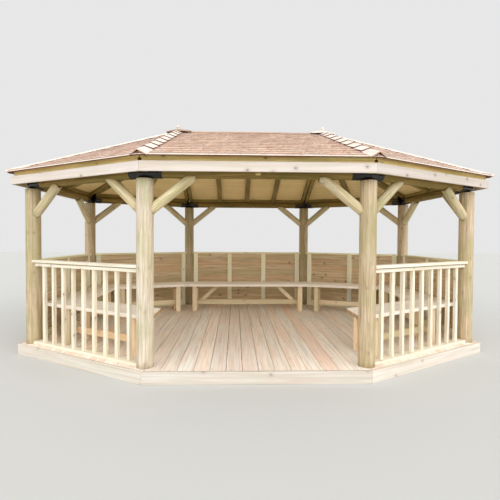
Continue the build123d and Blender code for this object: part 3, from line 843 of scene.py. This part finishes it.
def course_of(side, course, count, eave, top, start_at, limits, exposure=0.13, lap=0.012):
    """Wedges of one course: corners in plan, lower and upper heights over the panel's top, and tones.

    The top falls from `cedar_depth` at the butt to `cedar_depth - butt` where the next course starts.
    Left and right edges are held between the hips: a = clamp(a, left(d), right(d)).
    """
    butt_at = eave - course * exposure
    width = luck.uniform(0.060, 0.150, most)
    starts = start_at - luck.uniform(0, 0.2) + np.concatenate([[0], np.cumsum(width)[:-1]])
    slip = luck.uniform(0, 0.005, most) * (course > 0) + luck.uniform(0, 0.002, most)
    near = np.full(most, np.maximum(butt_at - exposure - lap, top))
    d = np.stack([butt_at - slip, butt_at - slip, near, near], 1)
    a = np.stack([starts, starts + width - 0.002, starts + width - 0.002, starts], 1)
    a = np.clip(a, *limits(d))
    keep = (a[:, 1] - a[:, 0] > 0.012) & (d[:, 0] - d[:, 2] > 0.02)
    d, a = d[keep], a[keep]
    a[:, 2] = np.maximum(a[:, 2], a[:, 3] + 0.001)
    a -= (side.hubs[0] - side.middle) @ side.along
    plans = side.hubs[0] - d[..., None] * side.inward + a[..., None] * side.along
    panel, at_butt = side.height(plans, panel_at_ridge), d > butt_at - 0.02
    high = np.where(at_butt, cedar_depth - luck.uniform(0, 0.0025, (len(d), 1)), cedar_depth - butt - 0.001)
    gap = cedar_depth - butt + luck.uniform(0.001, 0.003, (len(d), 1)) * (1 if course else 0.2)
    tones = 0.42 + 0.45 * (1 - course / count) ** 2 + luck.uniform(-0.14, 0.14, len(d))
    return plans, panel + np.where(at_butt, gap, 0), panel + high, tones


def shingle_courses(side, exposure=0.13):
    """All courses of a slope, from the eave up."""
    outline = side.slope_outline(shingle_ring, 0, 0.002, 0.003)
    distance = (side.hubs[0] - outline) @ side.inward
    eave, top = distance.max(), distance.min()
    start_at = ((outline - side.middle) @ side.along).min()
    count = int(np.ceil((eave - top) / exposure))
    rows = [course_of(side, course, count, eave, top, start_at, hip_limits(side, outline), exposure)
            for course in range(count)]
    return tuple(np.concatenate(column) for column in zip(*rows))


print("shingles are up to", cedar_depth, "thick where they end")

# %% [markdown]
# The thick ends of the lowest course take the pale cap finish, partly weathered cut ends and partly a
# painted highlight where they catch the light, and duller ends near the hips. Under it lies a starter
# strip, 10 mm further in, painted dark red-brown for the shade under the eave. Seen from the camera, the
# ends of the courses fill over half of the front slope at its eave and four fifths of it near the ridge, so
# their colour counts most.

# %% Shingles on the roof
shingle_wood = wood("split_cedar", (216, 177, 144), (181, 133, 102), (190, 166, 144), patches=0.5,
                    tones=0.16, streak=0.65, knots=0.0, relief=0.9, dirt=(118, 80, 62),
                    odd=(170, 154, 144), odd_share=0.8)
shingle_end = wood("split_cedar_ends", (229, 209, 196), (207, 178, 162), (162, 140, 129), patches=0.45,
                   tones=0.25, streak=0.5, knots=0.0, odd=(196, 180, 168), odd_share=0.6)
cap_wood = wood("cedar_caps", (233, 226, 216), (229, 213, 198), (216, 205, 195), patches=0.4, tones=0.04,
                streak=0.10, knots=0.0)
# Dark red-brown painted shade: the ends and undersides of caps and covers, and the starter strip.
painted_shade_end = wood("cedar_ends_painted_shade", (128, 72, 52), (96, 48, 36), (92, 62, 46), patches=0.3, tones=0.1,
               knots=0.0)
pile = Pile()
for side in sides:
    plans, low, high, tones = shingle_courses(side)
    lowest = ((plans - plans[0, 0]) @ side.inward).min(1) < 0.02
    corners = roof_ring(shingle_ring)[[side.number, side.following]]
    by_hip = np.min([np.linalg.norm(plans.mean(1) - at, axis=1) for at in corners], axis=0) < 0.12
    # Finish 3, the pale cap finish, on the lowest ends away from the hips: weathered ends with a painted
    # highlight.
    for finish, rows in ((3, lowest & ~by_hip), (1, ~lowest | by_hip)):
        prisms(pile, plans[rows], low[rows], high[rows], side.inward, tones[rows], under=1, wall=finish)
    # The starter strip takes finish 2, dark red-brown painted shade under the eave.
    start = side.slope_outline(shingle_ring, 0.010, 0.002, 0.003)
    start = clip(start, start[0] + side.inward * 0.06, -side.inward)
    prisms(pile, start, side.height(start, panel_at_ridge), side.height(start, panel_at_ridge + 0.0075),
           side.along, finish=2)
make_piece(pile, "split_shingles", [shingle_wood, shingle_end, painted_shade_end, cap_wood],
           ["roof_shingles"])

# %% [markdown]
# ## Caps
# A hip is closed with pairs of short boards, nailed together as a small roof of their own over it. Each
# pair laps over the pair below, so its lower end stands up over a gap, and its end and underside are
# painted dark red-brown for the shade in that gap.

# %% A pair of caps
def cap_pair(pile, corner, near, far, crown, edge, thick=0.009, wide=0.085, slim=0.026, square=True,
             finish=0, rim=1):
    """Two boards over a hip. crown and edge are heights over the shingles: (upper end, lower end).

    Top = crown (1 - w) + edge w, where w goes from 0 on the hip to 1 on the long lower edge. The lower
    end is cut square to the hip or along the eave, and on a triangle both stop at its middle line. Over
    the four outer hips the board towards the front or the back is only a narrow one.
    """
    at = hub(corner)
    stretch = np.linalg.norm(ring(post_ring)[corner] - at) / post_ring
    for side in (sides[corner - 1], sides[corner]):
        outward, beside = beside_hip(side, corner)
        narrow = corner in (0, 3, 4, 7) and side.name not in ("left", "right")
        width = slim if narrow else wide
        slant = beside if square else side.along / (side.along @ beside)
        first, last = at + outward * near * stretch, at + outward * far * stretch
        plan = np.array([first, last, last + slant * width, first + beside * width])
        if leftward(outward) @ beside < 0:
            plan = plan[::-1]
        plan = own_half(side, corner, plan)
        s = ((plan - first) @ outward / ((far - near) * stretch))
        w = (plan - at) @ beside / width
        top = (crown[0] + (crown[1] - crown[0]) * s) * (1 - w) + (edge[0] + (edge[1] - edge[0]) * s) * w
        top += side.height(plan, shingles_at_ridge)
        # Finish 1 is dark red-brown painted shade, on the underside and, unless rim says otherwise, on the
        # ends.
        prisms(pile, plan, top - thick, top, outward, finish=finish, under=1, wall=rim)


lower_ends = np.array([2.031, 1.790, 1.560, 1.345, 1.130, 0.910, 0.690, 0.470, 0.290])
print("cap lengths along a hip", -np.diff(lower_ends).round(3))

# %% [markdown]
# There are nine pairs on each hip. The lowest ends along the eave, and a small brown starter piece shows
# in its open end. The inner hips stand in full view, and their caps rise higher than on the outer ones.

# %% Hip caps
top_end, lowest_from, starter_from = 0.130, 1.770, 1.90
pile = Pile()
for corner in range(8):
    outer, far = corner in (0, 3, 4, 7), lower_ends[0]
    crown = (0.016, 0.014) if outer else (0.030, 0.041)
    cap_pair(pile, corner, starter_from, far - 0.020, (0.004, 0.014), (0.001, 0.004), thick=0.008,
             wide=0.060, square=False, finish=2, rim=2)
    cap_pair(pile, corner, lowest_from, far, crown, (-0.002, -0.006), thick=0.008 if outer else 0.010,
             square=False, rim=2)
    ends_here = lower_ends - luck.uniform(0, 0.012, len(lower_ends))
    uppers = [*(ends_here[2:] - 0.02), top_end]
    for upper, lower in zip(uppers, ends_here[1:]):
        cap_pair(pile, corner, upper, lower, crown, (-0.002, 0.001 if outer else 0.012))
make_piece(pile, "lapped_hip_caps", [cap_wood, painted_shade_end, shingle_wood], ["hip_caps"])

# %% [markdown]
# ## Covers over the ridge ends
# Where the hips meet, a low pointed cover lies over their ends and reaches a little way along the ridge.
# It is a fan of triangles round one point, with the same fan below it and a wall between their rims.

# %% Pointed covers
cover_run = 0.185


def pointed_cover(pile, end, radius=0.170, run=cover_run, thick=0.013, finish=0):
    """A low pyramid over one end of the ridge, its rim 43 mm above the slopes, lower towards the ridge."""
    order = [2, 3, 4, 5] if end > 0 else [6, 7, 0, 1]
    at, rim, back = hub(order[0]), roof_ring(radius)[order], np.array([-end * run, 0])
    plan = np.array([*rim, rim[-1] + back, at + back, rim[0] + back])
    heights = np.full(7, shingles_at_ridge - pitch_rise * radius + 0.043)
    heights[4:] = heights[4] - 0.012, shingles_at_ridge + 0.016, heights[4] - 0.012
    top, point = np.column_stack([plan, heights]), level(at, shingles_at_ridge + 0.040)
    points = np.vstack([top, top - up * thick, point, point - up * thick])
    base = pile.add_points(points, luck.random())
    k, after = np.arange(7), (np.arange(7) + 1) % 7
    upper, lower = np.stack([k, after, k * 0 + 14], 1), np.stack([7 + after, 7 + k, k * 0 + 15], 1)
    walls = np.stack([7 + k, 7 + after, after, k], 1)
    pile.add_faces(base + upper, points[upper][..., :2], finish)
    # The lower fan is painted dark red-brown for the shade under the cover.
    pile.add_faces(base + lower, points[lower][..., :2], 1)
    pile.add_faces(base + walls, points[walls][..., [0, 2]], finish)


print("a cover's point stands at", round(shingles_at_ridge + 0.040, 3))

# %% [markdown]
# A small turned knob stands on each cover. Turning is a circle carried up an axis, with the radius of
# each height as its swell. Between the covers, pairs of flat strips close the ridge.

# %% Knobs and ridge strips
hub_wood = wood("cedar_cover", (196, 170, 146), (164, 134, 110), (172, 156, 138), patches=0.4, knots=0.0)
knob_shape = np.array([(0.0, 0.62), (0.16, 0.62), (0.20, 0.50), (0.26, 0.50), (0.34, 0.78), (0.46, 0.97),
                       (0.58, 1.0), (0.72, 0.93), (0.84, 0.75), (0.93, 0.48), (1.0, 0.16)])


def knob(pile, at, foot, tall=0.050, radius=0.025):
    """A turned ball on a short neck. Each row of its shape is a height and a radius, as shares."""
    timber(pile, level(at, foot), up, (1, 0, 0), circle(radius, np.arange(32) * np.pi / 16), 0, tall, cap=0,
           smooth=True, stations=knob_shape[:, 0], swell=knob_shape[:, 1:])


pile, width = Pile(), 0.070
for side in filter(lambda side: side.meets_ridge, sides):
    first, length = side.hubs[1], 2 * half_ridge
    spots = np.linspace(cover_run + 0.002, length - cover_run - 0.002, 5)
    for near, far in zip(spots, spots[1:]):
        a, b = first + side.along * (near + 0.001), first + side.along * (far - 0.001)
        plan = np.array([a - side.inward * width, b - side.inward * width, b, a])
        top = side.height(plan, shingles_at_ridge) + np.array([0.001, 0.005, 0.005, 0.001])
        # Their undersides are painted dark red-brown for the shade under them.
        prisms(pile, plan, top - 0.010, top, side.along, finish=3, under=1, wall=3)
for corner, finish in ((0, 2), (2, 0)):
    pointed_cover(pile, ends[corner], finish=finish)
    knob(pile, hub(corner), shingles_at_ridge + 0.035)
make_piece(pile, "ridge_caps_and_covers", [cap_wood, painted_shade_end, hub_wood, shingle_wood],
           ["ridge_caps"])

# %% [markdown]
# ## Brackets and bolts
# The saddle brackets have the right shape already, so they stay and only get black paint: slightly lumpy
# and glossy, with duller spots of a lighter greenish grey that are partly rubbed dust and partly a painted
# greenish reflection.

# %% Black sheet
def black_sheet(name="black_coated_sheet"):
    """Colour and gloss both follow one cloud of dust and sheen, lighter greenish grey and duller where it
    is high, and a very fine one makes the paint lumpy.
    """
    finish, tree = new_finish(name)
    place = wire(tree, "TexCoord").outputs["Object"]
    dust_and_sheen = noise(tree, place, (9, 9, 9), 5, 0.65)
    fine = noise(tree, place, (240, 240, 240), 2, 0.5)
    # Lighter greenish grey: partly dust, partly a painted greenish reflection.
    colour = mix(tree, spread(tree, dust_and_sheen, 0.45, 0.75, 0, 0.5), srgb(10, 11, 13), srgb(38, 40, 38))
    plug_in(tree, colour, spread(tree, dust_and_sheen, 0.3, 0.7, 0.18, 0.4), fine, 0.15, 0.0005)
    return finish


sheet = black_sheet()
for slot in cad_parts["post_brackets"].material_slots:
    slot.material = sheet

# %% [markdown]
# Each wing of a bracket is bolted through its beam, and the round black heads show on both of its sides.
# They are domes: a circle carried outward, smaller and smaller.

# %% Bolts
dome = np.array([(0.0, 1), (0.35, 1), (0.7, 0.84), (0.92, 0.52), (1.0, 0.2)])


def bolts(spots=(0.105, 0.148), below=np.radians(35), head=0.0085, stand=0.006, sheet_face=0.0040):
    """Domed heads that stand square on the round sheet, at an angle below the axis of the beam."""
    pile = Pile()
    for corner, post_at in enumerate(ring(post_ring)):
        for along in (sides[corner].along, -sides[corner - 1].along):
            across = leftward(along)
            for spot in spots:
                for way in (-1, 1):
                    outward = level(across * way * np.cos(below), -np.sin(below))
                    face = level(post_at + along * spot, beam_axis) + outward * (beam_radius + sheet_face)
                    timber(pile, face, outward, level(along), circle(head, np.arange(16) * np.pi / 8),
                           0, stand, cap=0, smooth=True, stations=dome[:, 0], swell=dome[:, 1:])
    return pile


make_piece(bolts(), "bracket_bolts", [sheet])

# %% [markdown]
# ## Baluster panels
# On both sides of the entrance nine square balusters stand between a foot rail and a handrail in three
# parts. The middle part is narrow and has the dark olive of painted shade, so that it shows as a shaded
# groove under the handrail.

# %% Baluster panels
baluster_wood = wood("balusters", (254, 248, 232), (244, 227, 196), (229, 220, 174), tones=0.06,
                     streak=0.45, wavy=1.6)
rail_wood = wood("rails", (248, 241, 225), (236, 223, 198), (220, 213, 178), patches=0.3, tones=0.05,
                 streak=0.3, knots=0.5)
# The middle row takes finish 3, the dark olive of painted shade.
rails = [(0.0325, 1.031, 1.067, 0.003, 2), (0.025, 1.067, 1.075, 0.001, 3), (0.060, 1.075, 1.105, 0.004, 2)]


def balustrade(side, foot=0.032, first=0.2105, half=0.019, number=9):
    """Nine balusters at even steps along the side. Rows of rails: half width, low, high, ease, finish."""
    pile = Pile()
    side_board(pile, side, eased(-0.050, 0.050, deck_top, deck_top + foot, 0.003), finish=2)
    for spot in np.linspace(first - side.length / 2, side.length / 2 - first, number):
        timber(pile, level(side.middle + side.along * spot), up, level(side.inward),
               eased(-half, half, -half, half, 0.003), deck_top + foot, rails[0][1])
    for wide, low, high, ease, finish in rails:
        side_board(pile, side, eased(-wide, wide, low, high, ease), finish=finish)
    make_piece(pile, f"joined_{side.name}_balustrade",
               [baluster_wood, end_grain, rail_wood, painted_shade_olive_wood], [f"{side.name}_balustrade"])


for side in (sides[0], sides[2]):
    balustrade(side)

# %% [markdown]
# ## Half walls
# Behind the benches the walls are boarded outside with level boards. Inside show the battens that carry
# them, a rail at the top and one at the floor, and a wide cap runs over all. The boards and the cap are
# notched round the posts.

# %% Wall boards
wall_wood = wood("wall_boards", (238, 215, 180), (220, 185, 145), (196, 188, 141), patches=0.45, tones=0.07,
                 knots=0.9, streak=0.5, odd=(196, 152, 114), odd_share=0.35, wavy=1.8)
batten_wood = wood("wall_battens", (255, 255, 239), (255, 246, 202), (246, 236, 182), streak=0.16,
                   knots=0.4)
wall_cap_wood = wood("wall_cap_board", (250, 246, 214), (234, 224, 180), (204, 206, 156), patches=0.4,
                     streak=0.2)
cap_bottom, wall_top, outer_face, inner_face = 1.079, 1.105, -0.009, 0.029


def wall_boards(pile, side, pitch=0.091, thick=0.020, seam=0.0006):
    """Boards every 91 mm from the deck up, the last one cut to what is left under the cap.

    The back wall is seen through the entrance, so which of its boards are pale or red is given one by one.
    """
    joints = np.clip(deck_top + 0.002 + pitch * np.arange(12), deck_top, cap_bottom)
    joints[0] = deck_top
    tones = luck.random(11)
    if side.name == "back":
        tones[[4, 5, 6, 7, 8, 9]] = 0.55, 0.95, 0.04, 0.62, 0.98, 0.45
    for low, high, tone in zip(joints, joints[1:], tones):
        if high - low > 0.01:
            board = eased(outer_face - thick, outer_face, low + seam, high - seam, 0.0035)
            side_board(pile, side, board, tone=tone)


print("a wall is", round(wall_top - deck_top, 3), "high over the deck")

# %% [markdown]
# The back wall has three bays between its battens and the others two. The rails are short pieces that
# fit between the battens, and the top one has the colour of the boards.

# %% Half walls
def half_wall(side, stile=0.125, half_batten=0.039, foot_rail=0.090, top_rail=0.079, play=0.0005):
    """Boards, battens at even steps, rails between neighbouring battens, and the cap."""
    pile, half = Pile(), side.length / 2
    wall_boards(pile, side)
    spots = np.linspace(stile - half, half - stile, 4 if side.meets_ridge else 3)
    for spot in spots:
        timber(pile, level(side.middle + side.along * spot), up, level(side.inward),
               eased(-half_batten, half_batten, outer_face, inner_face), deck_top, cap_bottom, finish=2)
    for left, right in zip(spots, spots[1:]):
        for low, high, finish in ((deck_top, deck_top + foot_rail, 2),
                                  (cap_bottom - top_rail, cap_bottom, 0)):
            timber(pile, level(side.middle), level(side.along), up,
                   eased(outer_face, inner_face - play, low, high), left + half_batten + play,
                   right - half_batten - play, finish=finish)
    side_board(pile, side, eased(-0.050, 0.050, cap_bottom, wall_top, 0.003), finish=3)
    make_piece(pile, f"boarded_{side.name}_wall",
               [wall_wood, end_grain, batten_wood, wall_cap_wood], [f"{side.name}_half_wall"])


for side in sides[3:]:
    half_wall(side)

# %% [markdown]
# ## Benches
# Seven seats stand round the inside, each parallel to its side but for the two in the back corners, which
# are swung a little. Each has a front line and a back line. Neighbours share a cut, either through the
# crossings of their lines or, at the ends of the back bench, straight from front to back. The ends beside
# the entrance are cut straight too.

# %% Where the seats meet
bench_names = ("front_right", "right", "back_right", "back", "back_left", "left", "front_left")
seat_low, seat_top, seat_depth = 0.545, 0.585, 0.410
back_end, free_end, back_front, swing = 1.064, 1.038, 0.985, np.radians(10.2)


def meet(p, u, q, v):
    """Where two lines in plan cross: p + u (gap x v) / (u x v), with gap = q - p."""
    gap = q - p
    return p + u * ((gap[0] * v[1] - gap[1] * v[0]) / (u[0] * v[1] - u[1] * v[0]))


front_lines = {side.name: (side.middle + side.inward * (post_radius + 0.0125 + seat_depth), side.along)
               for side in sides}
for name, end in (("back_right", 1), ("back_left", -1)):
    (x, y), bend = front_lines[name][1], swing * end
    swung = np.array([x * np.cos(bend) - y * np.sin(bend), x * np.sin(bend) + y * np.cos(bend)])
    front_lines[name] = (np.array([end * back_end, back_front]), swung)
front_lines["back"] = (np.array([0.0, back_front]), front_lines["back"][1])
back_lines = {name: (point - leftward(along) * seat_depth, along)
              for name, (point, along) in front_lines.items()}


def seat_mitre(first, second):
    """The line through the crossings of two seats' front edges and back edges."""
    inner, outer = (meet(*lines[first], *lines[second]) for lines in (front_lines, back_lines))
    return inner, (outer - inner) / np.linalg.norm(outer - inner)


def straight_cut(x):
    """A cut from front to back."""
    return np.array([x, 0]), np.array([0.0, 1.0])


cuts = [straight_cut(free_end), seat_mitre("front_right", "right"), seat_mitre("right", "back_right"),
        straight_cut(back_end), straight_cut(-back_end), seat_mitre("back_left", "left"),
        seat_mitre("left", "front_left"), straight_cut(-free_end)]
print("seats meet at", [at.round(2).tolist() for at, way in cuts])

# %% [markdown]
# A seat is four boards side by side, each cut off along the same two lines. The seats are worn pale and
# the frames under them are redder, since they stay out of the rain.

# %% Seat boards
seat_wood = wood("seat_boards", (255, 248, 238), (252, 238, 221), (250, 242, 228), patches=0.3, tones=0.03,
                 streak=0.08, knots=0.3, dirt=(180, 160, 130))
bench_wood = wood("bench_frames", (250, 234, 200), (234, 208, 168), (208, 196, 150), streak=0.22,
                  knots=0.4, odd=(226, 170, 122), odd_share=0.5)


def seat(pile, name, start_cut, end_cut, boards=4, gap=0.005):
    """Boards between two cuts. Gives back the middle of the front edge and the length of it."""
    point, along = front_lines[name]
    cut_at, corners = [], []
    for (at, way), sign in ((start_cut, 1), (end_cut, -1)):
        at = at + along * 0.001 * sign
        cut_at.append(plane(level(at), level(-leftward(way))))
        corners.append(meet(point, along, at, way))
    middle, length = (corners[0] + corners[1]) / 2, np.linalg.norm(corners[1] - corners[0])
    wide = (seat_depth - gap * (boards - 1)) / boards
    for far in -seat_depth + np.arange(boards) * (wide + gap):
        board = eased(far, far + wide, seat_low, seat_top, 0.004)
        timber(pile, level(middle), level(along), up, board, *cut_at)
    return middle, length


print("a seat board is", round((seat_depth - 0.015) / 4, 3), "wide")

# %% [markdown]
# Below it stand four legs. Three bearers run under the boards, a cross rail joins each pair of legs, and
# a stretcher joins the cross rails. Only the back bench has two slanting struts, from its stretcher up.

# %% Legs, rails and struts
leg_inset, leg_thick, leg_wide, rail_low, rail_high = 0.062, 0.045, 0.075, 0.223, 0.298
near, far = -leg_inset, -seat_depth + leg_inset


def bench_frame(pile, here, along, inward, leg_x, bearer=0.025, half_rail=0.0225):
    """Members at -x and +x from the middle of the seat, and those that run between them."""
    def across(x, half, low, high, start, end):
        timber(pile, here + level(along * x), level(inward), up, eased(-half, half, low, high), start, end,
               finish=2)

    for x in (-leg_x, leg_x):
        for back in (near - leg_thick, far):
            timber(pile, here + level(along * x), up, level(inward),
                   eased(-leg_wide / 2, leg_wide / 2, back, back + leg_thick), deck_top, seat_low, finish=2)
    bearer_x = leg_x - leg_wide / 2 - bearer
    for x in (-bearer_x, 0, bearer_x):
        across(x, bearer, seat_low - 0.035, seat_low, far, near)
    for x in (-leg_x, leg_x):
        across(x, half_rail, rail_low, rail_high, far + leg_thick, near - leg_thick)
    timber(pile, here + level(inward * -seat_depth / 2), level(along), up,
           eased(-0.020, 0.020, rail_low, rail_high), half_rail - leg_x, leg_x - half_rail, finish=2)


def struts(pile, here, along, inward, leg_x, apart=0.087, half_cut=0.044, run=0.266):
    """Two pieces, cut level at both ends, that rise from the stretcher towards the bench's middle."""
    foot_x = leg_x - leg_wide / 2 - apart
    for end in (-1, 1):
        foot = here + level(along * end * foot_x + inward * -seat_depth / 2, rail_high)
        slant = level(-along * end * run, seat_low - rail_high)
        slant = slant / np.linalg.norm(slant)
        half = half_cut * slant[2]
        timber(pile, foot, slant, level(inward), eased(-half, half, -0.019, 0.019),
               plane(up * rail_high, up), plane(up * seat_low, up), finish=2)


print("legs are", round(seat_low - deck_top, 3), "high")

# %% [markdown]
# Each bench is its seat, its frame and, at the back, its struts. The legs stand a little in from the
# ends, and further in on the long back bench.

# %% Seven benches
for name, start_cut, end_cut in zip(bench_names, cuts, cuts[1:]):
    pile, along = Pile(), front_lines[name][1]
    middle, length = seat(pile, name, start_cut, end_cut)
    leg_x = length / 2 - (0.118 if name == "back" else 0.060) - leg_wide / 2
    where = (level(middle), along, leftward(along), leg_x)
    bench_frame(pile, *where)
    if name == "back":
        struts(pile, *where)
    make_piece(pile, f"slatted_{name}_bench", [seat_wood, end_grain, bench_wood],
               [f"{name}_bench"])

# %% [markdown]
# ## Floor and light
# The picture was taken under a bright, even sky. A white world stands for it, with a large soft lamp high
# in front, so that round timber still has a light side. Two low lamps, from the right and the left, stand
# for the light that open ground throws in under the eaves, and they reach the benches and the back wall.

# %% Studio
floor_mesh = bpy.data.meshes.new("studio_floor")
floor_mesh.from_pydata([(-30, -30, 0), (30, -30, 0), (30, 30, 0), (-30, 30, 0)], [], [(0, 1, 2, 3)])
studio_floor = bpy.data.objects.new("studio_floor", floor_mesh)
bpy.context.scene.collection.objects.link(studio_floor)
pale, pale_tree = new_finish("pale_floor")
pale_tree.nodes["Principled BSDF"].inputs["Base Color"].default_value = srgb(196, 196, 193)
pale_tree.nodes["Principled BSDF"].inputs["Roughness"].default_value = 0.9
floor_mesh.materials.append(pale)

world = bpy.data.worlds.new("bright_sky")
bpy.context.scene.world = world
world.use_nodes = True
world.node_tree.nodes["Background"].inputs["Color"].default_value = (1, 1, 1, 1)
world.node_tree.nodes["Background"].inputs["Strength"].default_value = 0.80
for name, energy, spread_by, turned_by in (("soft_sun", 1.4, 80, (40, 0, 10)),
                                           ("right_sky", 1.75, 70, (82, 0, 58)),
                                           ("left_sky", 1.3, 70, (82, 0, -52))):
    lamp = bpy.data.lights.new(name, "SUN")
    lamp.energy, lamp.angle = energy, np.radians(spread_by)
    lamp_stand = bpy.data.objects.new(name, lamp)
    lamp_stand.rotation_euler = np.radians(turned_by)
    bpy.context.scene.collection.objects.link(lamp_stand)
    print(name, "shines with", energy)
bpy.context.scene.view_settings.view_transform = "Standard"
